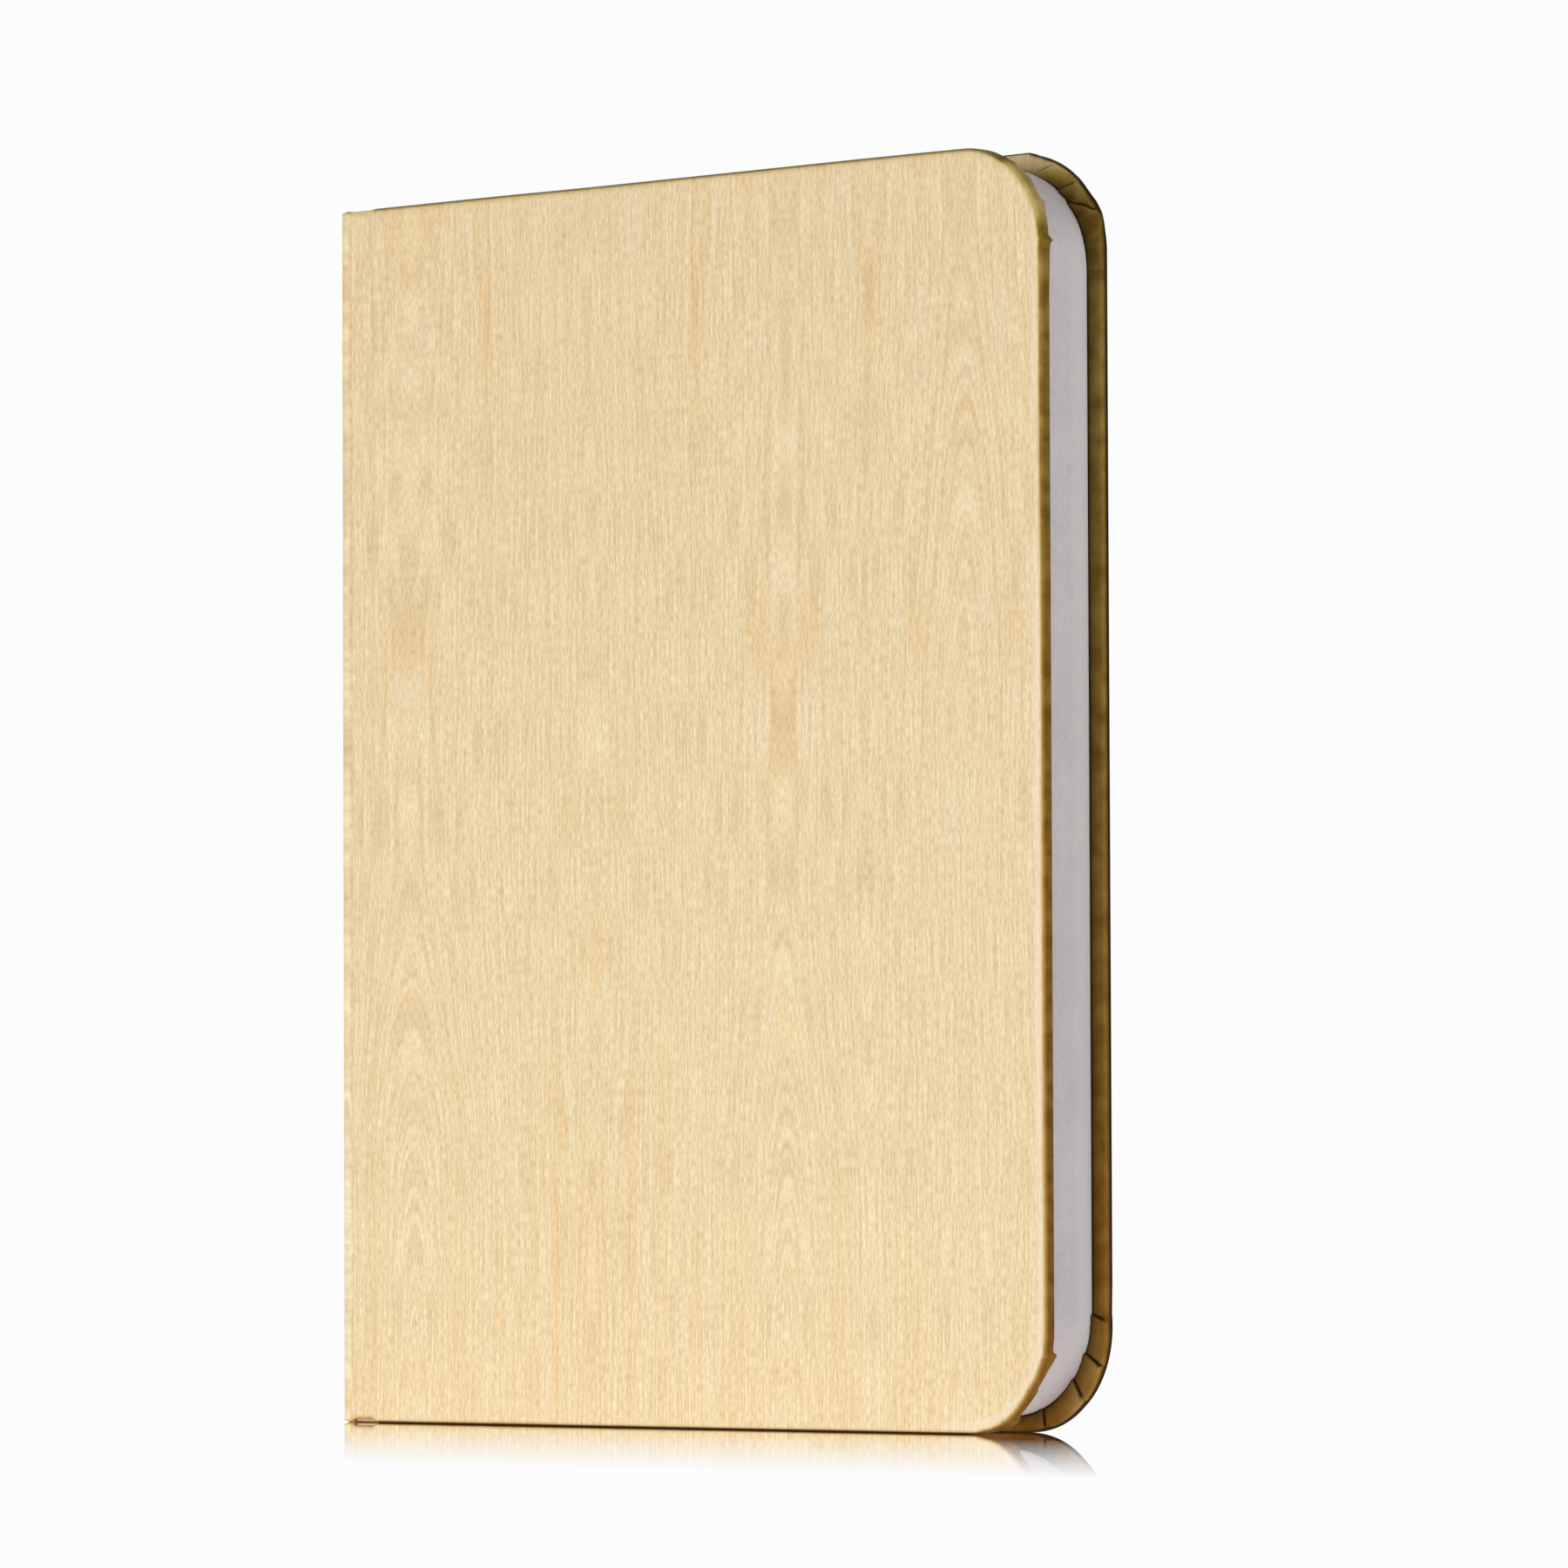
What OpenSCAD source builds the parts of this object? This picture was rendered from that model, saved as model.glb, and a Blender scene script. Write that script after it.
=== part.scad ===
// Folding book lamp. Two hard covers in a wood-grain covering hinge on a narrow spine. Between
// them an accordion of doubled translucent leaves fans round a slim light core when they open.
//
// The lamp stands closed and upright: X from the spine to the fore-edge, the front cover towards
// -Y, Z up. The origin is the middle of the foot.

/* [Covers] */
// Width from the spine's outer face to the fore-edge
cover_w = 170; // [140:1:220]
// Height of the covers
cover_h = 215; // [190:1:280]
// Thickness over both covers when shut
book_t = 16.4; // [15:0.1:26]
// Radius of the covers' two corners at the fore-edge
corner_r = 18; // [8:1:30]
// Thickness of the stiff card in a cover
board_t = 1.5; // [1.3:0.1:2.5]
// Thickness of the wood-grain covering
wrap_t = 0.3; // [0.2:0.05:0.4]
// How far the covering is folded in over a board's edge
turn_in = 12; // [9:1:16]

/* [Spine] */
// Thickness of the stiff card in the spine
spine_board_t = 2; // [1.5:0.1:2.5]
// Distance from the spine's outer face to the lines that the covers fold on
hinge_x = 3.2; // [3:0.1:3.6]
// Distance from the spine's outer face to the cover boards
groove_end = 8.2; // [7:0.1:10]
// Depth of the hinge groove in the covering
groove_depth = 0.4; // [0.2:0.05:0.6]
// Height of the groove's covering above the foot, and below the top
groove_rise = 0.6; // [0.3:0.1:1.5]
// Slit between the spine's covering and a cover's, at the fold line
crease_gap = 0.3; // [0.2:0.05:0.5]

/* [Pleats] */
// Number of pleats that go with each cover
pleats_per_side = 12; // [6:1:13]
// Thickness of a pleat: a doubled leaf
leaf_t = 0.2; // [0.1:0.05:0.25]
// Thickness of the leaf that is glued inside each cover
end_leaf_t = 0.2; // [0.1:0.05:0.3]
// Distance from the covers' edges to the pleats' edges
block_inset = 2.8; // [2:0.1:5]
// Radius of the pleats' two corners at the fore-edge
leaf_corner_r = 18; // [8:1:30]

/* [Light core] */
// Space between the core and the leaf inside each cover
core_clear = 0.4; // [0.3:0.05:0.7]
// Wall of the channel and of the frosted nose
core_wall = 0.9; // [0.8:0.1:1.1]
// Depth of the channel from the tape to the nose
channel_d = 12.9; // [12:0.1:15]
// Length of the frosted nose
nose_len = 12.2; // [11:0.1:14]
// Space between a pleat's inner fold and the nose
root_gap = 0.3; // [0.25:0.05:0.4]
// Thickness of the tape that holds the core on the spine
tape_t = 0.3; // [0.2:0.05:0.5]
// Thickness of each end cap
cap_t = 2.2; // [1.8:0.1:3]
// Depth of the end cap's plug inside the channel
plug_d = 1.6; // [1:0.1:2]
// Clearance between pieces that slide into each other
fit = 0.05; // [0.03:0.01:0.1]

/* [Lights] */
// Angle of each row of lights away from the fore-edge direction
led_tilt = 31; // [28:1:33]
// Thickness of the boards
pcb_t = 0.8; // [0.6:0.1:0.9]
// Width of a light board
led_board_w = 5.4; // [4:0.1:5.5]
// Size of one light: along the board, across it, and its height
led_size = [3.5, 2.8, 0.7];
// Distance from one light to the next
led_pitch = 14; // [8:1:30]

/* [Electronics] */
// Number of cells, one above the other
cell_count = 2; // [1:1:3]
// Thickness of the foam pads beside the cells
pad_t = 0.5; // [0.4:0.1:0.8]
// Length of the foam pads
pad_len = 14; // [8:1:20]
// Space between cells, and between the lowest and the control board
cell_space = 3.5; // [2:0.5:6]
// Length of the control board
control_len = 36; // [34:1:44]
// Height of the charging socket's middle above the foot
port_z = 14; // [13.5:0.5:16]
// Size of the charging socket: into the spine, across, and along the spine
port_size = [5.6, 2.6, 7.6];
// Wall of the charging socket
port_wall = 0.35; // [0.25:0.05:0.4]
// Thickness of the charging socket's back
port_back = 1; // [0.6:0.1:1.4]
// Space round the charging socket in the spine
port_clear = 0.3; // [0.2:0.05:0.4]
// Radius of the leads
lead_r = 0.4; // [0.3:0.05:0.4]
// Length of a lead that is soldered to a board
solder_len = 1; // [0.6:0.1:1.2]
// Size of the charging chip: across the board, off it, and along it
chip_size = [3.9, 1.4, 4.9];
// Size of the coil
coil_size = [2.2, 1.8, 2.6];
// Size of a capacitor
capacitor_size = [1.6, 0.8, 0.8];
// Size of the magnet sensor
sensor_size = [2.9, 1.1, 1.6];
// Space between neighbours on the control board
part_space = 0.8; // [0.4:0.1:1]

/* [Magnets and screws] */
// Radius of the magnets at the fore-edge
magnet_r = 5; // [3:0.5:6]
// Thickness of all magnets
magnet_t = 1.2; // [0.8:0.1:1.2]
// Distance from the fore-edge to the magnets' middles
magnet_inset = 20; // [19:1:40]
// Distance between the two magnets of a cover
magnet_space = 110; // [60:1:120]
// Radius of the small magnet that works the switch
switch_magnet_r = 2; // [1.5:0.1:2.5]
// Its distance from the board's hinge edge, and its height above the lower turn-in
switch_magnet_at = [6, 10];
// Shank radius, head radius and head height of the cap screws
cap_screw = [0.8, 1.5, 1];
// Shank radius, head radius and head height of the control board's screws
board_screw = [0.6, 1.1, 0.7];
// Length of the cap screws' shanks
cap_screw_len = 8; // [5:1:10]

/* [Hidden] */
$fn = 96;
SIDES = [["front", -1], ["back", 1]];
half_t = book_t / 2;
cover_t = board_t + 2 * wrap_t;
cover_in_y = half_t - cover_t;
leaf_in_y = cover_in_y - end_leaf_t;
board_in_y = cover_in_y + wrap_t;
window_r = max(corner_r - turn_in, 1);

// Spine and grooves
spine_in_x = wrap_t + spine_board_t;
spine_lip_x = spine_in_x + wrap_t;
groove_in_y = half_t - wrap_t - groove_depth;

// Pleats
leaf_z0 = block_inset;
leaf_z1 = cover_h - block_inset;
pleat_pitch = leaf_in_y / pleats_per_side;

// Channel and nose, seen from above
core_x0 = spine_in_x + tape_t;
nose_x0 = core_x0 + channel_d;
core_y = leaf_in_y - core_clear;
channel_in_x = core_x0 + core_wall;
channel_in_y = core_y - core_wall;
root_len = nose_len + root_gap;
core_z0 = leaf_z0 + cap_t;
core_z1 = leaf_z1 - cap_t;
tongue_d = 2;
tongue_t = 0.6;
tongue_root = 0.4;
tongue_y = channel_in_y - fit - tongue_t;
nose_steps = 32;

// Light bar: a wedge behind the nose, with a board of lights on each slope
bar_gap = 0.2;
bar_side_gap = 0.1;
bar_lip = 0.3;
bar_y = tongue_y - bar_side_gap;
bar_x0 = nose_x0 - tongue_d - bar_gap;
slope_x = nose_x0 + bar_gap;
slope_y = bar_y - bar_lip;
slope_margin = 0.2;
slope_len = led_board_w + 2 * slope_margin;
bar_tip_x = slope_x + slope_len * cos(led_tilt);
bar_tip_y = slope_y - slope_len * sin(led_tilt);
led_board_end = 4;
led_board_z0 = core_z0 + led_board_end;
led_board_z1 = core_z1 - led_board_end;
led_count = floor((led_board_z1 - led_board_z0 - 2 * led_size.x) / led_pitch) + 1;
bar_screw_x = slope_x + 2 * cap_screw[0];
lead_hole_clear = 0.2;
lead_hole_r = lead_r + lead_hole_clear;

// Control board, cells and leads
control_y0 = port_size.y / 2;
control_y1 = control_y0 + pcb_t;
board_gap = 0.3;
control_x0 = channel_in_x + board_gap;
control_z0 = core_z0 + plug_d + board_gap;
control_z1 = control_z0 + control_len;
lead_gap = 0.3;
lead_space = 2 * lead_r + lead_gap;
control_x1 = bar_x0 - lead_space;
cell_gap = 0.1;
cell_end_gap = 0.5;
cell_x0 = channel_in_x + cell_gap;
cell_x1 = bar_x0 - lead_space;
cell_y = channel_in_y - pad_t - fit;
cell_z0 = control_z1 + cell_space;
cell_z1 = core_z1 - plug_d - cell_end_gap;
cell_len = (cell_z1 - cell_z0 - (cell_count - 1) * cell_space) / cell_count;
cell_edge_r = 1.5;
pad_end = 6;
pad_side = 2;
post_r = 1.6;
post_floor = 0.2;
post_shift = 0.8;
post_x = (control_x0 + control_x1) / 2 + post_shift;
post_zs = [port_z + port_size.z / 2 + post_r + 2 * part_space, control_z1 - post_r - 3 * part_space];
lead_x = bar_x0 - lead_space / 2;
led_lead_y = control_y1 + lead_r;
led_lead_pitch = 2 * lead_r + 2 * part_space;
led_lead_zs = [for (k = [1, 2]) post_zs[0] + post_r + k * led_lead_pitch];
bridge_pitch = 4;
bridge_zs = [for (k = [2, 3]) led_board_z1 - k * bridge_pitch];

function two_digits(n) = str(n < 10 ? "0" : "", n);
function pleat_name(side, i) = str(side, "_pleat_", two_digits(i + 1));
// Where pleat i folds: on a curve just outside the nose, counted from the middle outwards
function fold_y(i) = (i + 0.5) * pleat_pitch;
function fold_x(i) = nose_x0 + root_len * sqrt(1 - pow(fold_y(i) / leaf_in_y, 2));
function slope_x_at(y) = slope_x + (slope_y - y) / tan(led_tilt);

PLEATS = [for (s = SIDES, i = [0:pleats_per_side - 1]) pleat_name(s[0], i)];

wrap_colour = "#E7D6B7";
card_colour = "#B8A88C";
leaf_colour = "#F1EFEF";
plastic_colour = "#F4F4F2";
frosted_colour = "#FAFAF8";
metal_colour = "#C9CCD0";
board_colour = "#1F6B3A";

// --- Helpers -------------------------------------------------------------------------------

// Moves a shape measured from the spine's outer face into the lamp's frame
module from_spine() {
    translate([-cover_w / 2, 0, 0]) children();
}

// Turns what is drawn for the back (+Y) to the given side
module on_side(side) {
    mirror([0, side < 0 ? 1 : 0, 0]) children();
}

// Cover or leaf seen from the front: square at the spine, round corners at the fore-edge
module page_shape(x0, inset, r) {
    w = cover_w - inset - x0;
    h = cover_h - 2 * inset;
    translate([x0, inset]) {
        square([w - r, h]);
        translate([0, r]) square([w, h - 2 * r]);
        for (z = [r, h - r]) translate([w - r, z]) circle(r);
    }
}

// Gives a shape drawn in X and Z its thickness from y0 to y1
module slab(y0, y1) {
    translate([0, y1, 0]) rotate([90, 0, 0]) linear_extrude(y1 - y0) children();
}

// Box between two corners
module block(low, high) {
    translate(low) cube(high - low);
}

// Rectangle with round corners, standing on z0 with the given height
module round_bar(x0, x1, half_y, r, z0, h) {
    translate([0, 0, z0]) linear_extrude(h) {
        translate([x0 + r, -half_y]) square([x1 - x0 - 2 * r, 2 * half_y]);
        translate([x0, r - half_y]) square([x1 - x0, 2 * (half_y - r)]);
        for (x = [x0 + r, x1 - r], y = [r - half_y, half_y - r]) translate([x, y]) circle(r);
    }
}

// The nose's section, taken in by the given amount
module nose_shape(inset) {
    polygon([for (k = [0:nose_steps]) let (t = 180 * k / nose_steps - 90)
        [nose_x0 + (nose_len - inset) * cos(t), (core_y - inset) * sin(t)]]);
}

// Channel and nose together, seen from above
module core_shape() {
    translate([core_x0, -core_y]) square([nose_x0 - core_x0, 2 * core_y]);
    nose_shape(0);
}

// Way for the charging socket through the spine and the channel
module port_hole() {
    block([-1, -port_size.y / 2 - port_clear, port_z - port_size.z / 2 - port_clear],
          [channel_in_x + 1, port_size.y / 2 + port_clear, port_z + port_size.z / 2 + port_clear]);
}

// Screw with its shank up, its head's underside at the origin; size is shank, head, head height
module screw(size, shank_len) {
    cylinder(r = size[0], h = shank_len);
    translate([0, 0, -size[2]]) cylinder(r = size[1], h = size[2]);
}

// Puts a flat piece on the back (+Y) slope of the light bar: X along the slope, Y outwards
module on_slope() {
    translate([slope_x, slope_y, 0]) rotate([0, 0, -led_tilt]) translate([0, fit, 0]) children();
}

// --- Spine ---------------------------------------------------------------------------------

module spine_board() {
    color(card_colour) from_spine() difference() {
        block([wrap_t, wrap_t - half_t, wrap_t], [spine_in_x, half_t - wrap_t, cover_h - wrap_t]);
        port_hole();
    }
}

// Covering of the spine: round the board, down into both grooves as far as the fold lines
module spine_wrap() {
    color(wrap_colour) from_spine() difference() {
        union() {
            block([0, -half_t, 0], [spine_lip_x, half_t, cover_h]);
            for (side = [-1, 1]) on_side(side)
                block([spine_in_x, groove_in_y, groove_rise],
                      [hinge_x - crease_gap / 2, groove_in_y + wrap_t, cover_h - groove_rise]);
        }
        block([wrap_t, wrap_t - half_t, wrap_t], [spine_in_x, half_t - wrap_t, cover_h - wrap_t]);
        block([spine_in_x, -groove_in_y, turn_in], [spine_lip_x + 1, groove_in_y, cover_h - turn_in]);
        for (side = [-1, 1]) on_side(side)
            block([spine_lip_x, -1, -1], [spine_lip_x + 1, groove_in_y, cover_h + 1]);
        port_hole();
    }
}

// Double-sided tape between the spine board and the channel, between the turn-ins
module spine_tape() {
    color("white") from_spine() difference() {
        block([spine_in_x, fit - core_y, turn_in + fit], [core_x0, core_y - fit, cover_h - turn_in - fit]);
        port_hole();
    }
}

// --- Light core ----------------------------------------------------------------------------

// Open channel that holds the electronics, with two posts for the control board
module core_channel() {
    color(plastic_colour) from_spine() {
        difference() {
            block([core_x0, -core_y, core_z0], [nose_x0, core_y, core_z1]);
            block([channel_in_x, -channel_in_y, core_z0 - 1], [nose_x0 + 1, channel_in_y, core_z1 + 1]);
            port_hole();
            for (z = [0, cover_h - turn_in - fit])
                block([core_x0 - 1, -core_y - 1, z], [spine_lip_x, core_y + 1, z + turn_in + fit]);
        }
        for (z = post_zs) translate([post_x, 0, z]) difference() {
            translate([0, control_y1, 0]) rotate([-90, 0, 0])
                cylinder(r = post_r, h = channel_in_y + core_wall / 2 - control_y1);
            translate([0, control_y1 - 1, 0]) rotate([-90, 0, 0])
                cylinder(r = board_screw[0] + fit, h = channel_in_y - control_y1 + 1 - post_floor);
        }
    }
}

// Frosted nose with two tongues that clip inside the channel
module nose_diffuser() {
    color(frosted_colour) from_spine() {
        translate([0, 0, core_z0]) linear_extrude(core_z1 - core_z0) difference() {
            nose_shape(0);
            nose_shape(core_wall);
        }
        for (side = [-1, 1]) on_side(side)
            union() {
                block([nose_x0 - tongue_d, tongue_y, core_z0],
                      [nose_x0 + tongue_root, tongue_y + tongue_t, core_z1]);
                block([nose_x0, tongue_y, core_z0],
                      [nose_x0 + tongue_root, core_y - core_wall / 2, core_z1]);
            }
    }
}

// End cap: closes channel and nose, with a plug that fits in the channel
module end_cap() {
    difference() {
        union() {
            linear_extrude(cap_t) core_shape();
            translate([0, 0, cap_t])
                block([channel_in_x + fit, fit - channel_in_y, 0], [cell_x1, channel_in_y - fit, plug_d]);
        }
        translate([bar_screw_x, 0, 0]) {
            translate([0, 0, -1]) cylinder(r = cap_screw[0] + fit, h = cap_t + 2);
            translate([0, 0, -1]) cylinder(r = cap_screw[1] + fit, h = cap_screw[2] + 1);
        }
    }
}

module bottom_cap() {
    color(plastic_colour) from_spine() translate([0, 0, leaf_z0]) end_cap();
}

module top_cap() {
    color(plastic_colour) from_spine() translate([0, 0, leaf_z1]) mirror([0, 0, 1]) end_cap();
}

module cap_screws() {
    color(metal_colour) from_spine() translate([bar_screw_x, 0, 0]) {
        translate([0, 0, leaf_z0 + cap_screw[2]]) screw(cap_screw, cap_screw_len);
        translate([0, 0, leaf_z1 - cap_screw[2]]) mirror([0, 0, 1]) screw(cap_screw, cap_screw_len);
    }
}

// Wedge-shaped bar between the caps, drilled for the cap screws and the lights' leads
module light_bar() {
    hole_h = cap_screw_len + 1;
    color(plastic_colour) from_spine() difference() {
        translate([0, 0, core_z0]) linear_extrude(core_z1 - core_z0)
            polygon([[bar_x0, -bar_y], [slope_x, -bar_y], [slope_x, -slope_y], [bar_tip_x, -bar_tip_y],
                     [bar_tip_x, bar_tip_y], [slope_x, slope_y], [slope_x, bar_y], [bar_x0, bar_y]]);
        for (z = [core_z0 - 1, core_z1 + 1 - hole_h]) translate([bar_screw_x, 0, z])
            cylinder(r = cap_screw[0] + fit, h = hole_h);
        for (z = led_lead_zs) translate([bar_x0 - 1, led_lead_y, z]) rotate([0, 90, 0])
            cylinder(r = lead_hole_r, h = bar_tip_x);
        for (z = bridge_zs) translate([bar_screw_x, bar_y, z]) rotate([90, 0, 0])
            cylinder(r = lead_hole_r, h = 2 * bar_y);
    }
}

module light_board(side) {
    color(frosted_colour) from_spine() on_side(side) on_slope()
        block([slope_margin, 0, led_board_z0], [slope_margin + led_board_w, pcb_t, led_board_z1]);
}

module lights(side) {
    row = (led_count - 1) * led_pitch;
    x0 = slope_margin + (led_board_w - led_size.y) / 2;
    z0 = (led_board_z0 + led_board_z1 - row - led_size.x) / 2;
    color("#F6E7A8") from_spine() on_side(side) on_slope()
        for (i = [0:led_count - 1])
            translate([x0, pcb_t, z0 + i * led_pitch]) cube([led_size.y, led_size.z, led_size.x]);
}

// Leads from the control board to the back light board, and across to the front one
module light_leads() {
    bridge_y = slope_y - (bar_screw_x + lead_r - slope_x) * tan(led_tilt);
    color("#D8D8D8") from_spine() {
        for (z = led_lead_zs) translate([control_x1 - solder_len, led_lead_y, z]) rotate([0, 90, 0])
            cylinder(r = lead_r, h = slope_x_at(led_lead_y + lead_r) - control_x1 + solder_len);
        for (z = bridge_zs) translate([bar_screw_x, bridge_y, z]) rotate([90, 0, 0])
            cylinder(r = lead_r, h = 2 * bridge_y);
    }
}

// --- Electronics ---------------------------------------------------------------------------

function cell_bottom(i) = cell_z0 + i * (cell_len + cell_space);

module battery_cells() {
    color(metal_colour) from_spine() for (i = [0:cell_count - 1])
        round_bar(cell_x0, cell_x1, cell_y, cell_edge_r, cell_bottom(i), cell_len);
}

// Foam pads between each cell and the channel's sides
module cell_pads() {
    color("#3A3A3C") from_spine() for (i = [0:cell_count - 1], side = [-1, 1], end = [0, 1])
        on_side(side)
            translate([0, 0, cell_bottom(i) + pad_end + end * (cell_len - pad_len - 2 * pad_end)])
                block([cell_x0 + pad_side, cell_y, 0], [cell_x1 - pad_side, cell_y + pad_t, pad_len]);
}

// One lead: down from a cell beside the control board, then across onto the board's face
module lead(x, y, z_top, z_bottom, reach) {
    translate([x, y, z_bottom]) {
        cylinder(r = lead_r, h = z_top - z_bottom);
        sphere(r = lead_r);
        rotate([0, -90, 0]) cylinder(r = lead_r, h = reach);
    }
}

module battery_leads() {
    face_y = control_y0 - lead_r;
    solder_z = control_z1 - solder_len;
    x0 = control_x0 + solder_len + lead_r;
    color("#B03030") from_spine() {
        for (x = [x0, x0 + 2 * lead_r + part_space]) lead(x, face_y, cell_z0, solder_z, solder_len / 2);
        if (cell_count > 1) for (y = [face_y, control_y1 + lead_r])
            lead(lead_x, y, cell_bottom(1) + solder_len, solder_z, lead_space + solder_len);
    }
}

// Control board on its two posts
module control_board() {
    color(board_colour) from_spine() difference() {
        block([control_x0, control_y0, control_z0], [control_x1, control_y1, control_z1]);
        for (z = post_zs) translate([post_x, control_y0 - 1, z]) rotate([-90, 0, 0])
            cylinder(r = board_screw[0] + fit, h = pcb_t + 2);
    }
}

// Puts a piece of the given size on the control board's front face, from x and z upwards
module on_board(x, z, size) {
    translate([x, control_y0 - size.y, z]) cube(size);
}

// Charging chip, coil and capacitors on the control board, below the upper screw
module board_parts() {
    x0 = control_x0 + part_space;
    top = post_zs[1] - board_screw[1] - part_space;
    color("#242426") from_spine() {
        on_board(x0, top - chip_size.z, chip_size);
        on_board(control_x1 - coil_size.x - lead_r, top - coil_size.z, coil_size);
        for (k = [0, 1])
            on_board(x0, top + part_space + k * (capacitor_size.z + part_space), capacitor_size);
    }
}

// Magnet sensor that switches the light, beside the magnet in the front cover
module hall_sensor() {
    color("#242426") from_spine()
        on_board(control_x0 + part_space, post_zs[0] + board_screw[1] + part_space, sensor_size);
}

module board_screws() {
    color(metal_colour) from_spine() for (z = post_zs) translate([post_x, control_y0, z])
        rotate([-90, 0, 0]) screw(board_screw, channel_in_y - control_y0 - 2 * post_floor);
}

// Charging socket, its mouth just inside the spine's outer face
module charge_socket() {
    mouth = [port_size.x - port_back, port_size.y - 2 * port_wall, port_size.z - 2 * port_wall];
    tongue = [3.2, 0.6, 4];
    color(metal_colour) from_spine() translate([wrap_t, 0, port_z]) {
        difference() {
            translate([0, -port_size.y / 2, -port_size.z / 2]) cube(port_size);
            translate([-1, -mouth.y / 2, -mouth.z / 2]) cube(mouth + [1, 0, 0]);
        }
        translate([mouth.x - tongue.x, -tongue.y / 2, -tongue.z / 2]) cube(tongue + [0.5, 0, 0]);
    }
}

// --- Covers --------------------------------------------------------------------------------

// Round pockets for magnets, or the magnets themselves, sunk in a board's inner face
module magnet_discs(r) {
    for (z = [-1, 1]) translate([cover_w - magnet_inset, board_in_y, cover_h / 2 + z * magnet_space / 2])
        rotate([-90, 0, 0]) cylinder(r = r, h = magnet_t);
}

module switch_disc(r) {
    translate([groove_end + switch_magnet_at.x, board_in_y, turn_in + switch_magnet_at.y])
        rotate([-90, 0, 0]) cylinder(r = r, h = magnet_t);
}

module cover_magnets(side) {
    color(metal_colour) from_spine() on_side(side) magnet_discs(magnet_r - fit);
}

// Small magnet in the front cover, beside the sensor on the control board
module switch_magnet() {
    color(metal_colour) from_spine() on_side(-1) switch_disc(switch_magnet_r - fit);
}

module cover_board(side) {
    color(card_colour) from_spine() on_side(side) difference() {
        slab(board_in_y, board_in_y + board_t) page_shape(groove_end, wrap_t, corner_r - wrap_t);
        magnet_discs(magnet_r);
        if (side < 0) switch_disc(switch_magnet_r);
    }
}

// Covering of a cover: face, edges and turn-ins, and the groove as far as the fold line
module cover_wrap(side) {
    color(wrap_colour) from_spine() on_side(side) {
        difference() {
            slab(cover_in_y, half_t) page_shape(groove_end, 0, corner_r);
            slab(board_in_y, board_in_y + board_t) page_shape(groove_end - 1, wrap_t, corner_r - wrap_t);
            slab(cover_in_y - 1, board_in_y) page_shape(groove_end - 1, turn_in, window_r);
        }
        block([groove_end - wrap_t, groove_in_y, groove_rise], [groove_end, half_t, cover_h - groove_rise]);
        block([hinge_x + crease_gap / 2, groove_in_y, groove_rise],
              [groove_end, groove_in_y + wrap_t, cover_h - groove_rise]);
    }
}

// Leaf glued inside a cover: it fills the space inside the turn-ins and laps over them
module end_leaf(side) {
    color(leaf_colour) from_spine() on_side(side) {
        slab(cover_in_y, board_in_y) page_shape(groove_end, turn_in, window_r);
        slab(leaf_in_y, cover_in_y) page_shape(groove_end, block_inset, leaf_corner_r);
    }
}

// --- Pleats --------------------------------------------------------------------------------

module pleat(side, i) {
    color(leaf_colour) from_spine() on_side(side)
        slab(fold_y(i) - leaf_t / 2, fold_y(i) + leaf_t / 2)
            page_shape(fold_x(i), block_inset, leaf_corner_r);
}

spine_board();
spine_wrap();
spine_tape();
core_channel();
nose_diffuser();
top_cap();
bottom_cap();
cap_screws();
light_bar();
light_board(-1);  // front_light_board
light_board(1);  // back_light_board
lights(-1);  // front_lights
lights(1);  // back_lights
light_leads();
battery_cells();
cell_pads();
battery_leads();
control_board();
board_parts();
hall_sensor();
board_screws();
charge_socket();
cover_board(-1);  // front_board
cover_board(1);  // back_board
cover_wrap(-1);  // front_wrap
cover_wrap(1);  // back_wrap
end_leaf(-1);  // front_end_leaf
end_leaf(1);  // back_end_leaf
cover_magnets(-1);  // front_magnets
cover_magnets(1);  // back_magnets
switch_magnet();
for (s = SIDES, i = [0:pleats_per_side - 1])
    pleat(s[1], i);
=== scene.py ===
"""Folding book lamp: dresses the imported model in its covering, leaves and finishes.

Sizes are in millimetres: x from the spine's outer face to the fore-edge, y from the middle between
the covers to the back, z up from the foot. Each mesh is turned to metres in the lamp's frame.
"""
import math
import random

import bmesh
import bpy
from mathutils import Matrix, Vector


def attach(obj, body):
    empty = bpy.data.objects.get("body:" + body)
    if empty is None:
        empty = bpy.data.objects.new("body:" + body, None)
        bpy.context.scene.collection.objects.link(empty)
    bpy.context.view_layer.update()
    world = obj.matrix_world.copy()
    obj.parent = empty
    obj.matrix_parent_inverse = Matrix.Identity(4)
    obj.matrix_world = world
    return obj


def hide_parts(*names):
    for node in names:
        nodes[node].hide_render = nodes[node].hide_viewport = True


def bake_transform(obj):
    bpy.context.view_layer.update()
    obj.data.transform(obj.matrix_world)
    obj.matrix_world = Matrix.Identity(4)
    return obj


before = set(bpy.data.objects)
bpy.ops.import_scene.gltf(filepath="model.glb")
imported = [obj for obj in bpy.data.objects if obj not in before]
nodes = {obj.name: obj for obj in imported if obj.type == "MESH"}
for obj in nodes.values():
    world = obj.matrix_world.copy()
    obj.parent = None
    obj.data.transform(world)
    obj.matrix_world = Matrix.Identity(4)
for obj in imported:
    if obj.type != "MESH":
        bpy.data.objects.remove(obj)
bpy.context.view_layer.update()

# Sizes in millimetres, as in the part's source
COVER_W, COVER_H, BOOK_T = 170.0, 215.0, 16.4
CORNER_R = 18.0
SHEET = 0.3
TURN_IN = 12.0
BOARD_T = 1.5
FACE_Y = BOOK_T / 2
RIM_Y = FACE_Y - BOARD_T - 2 * SHEET
LEAF_T = 0.2
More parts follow.
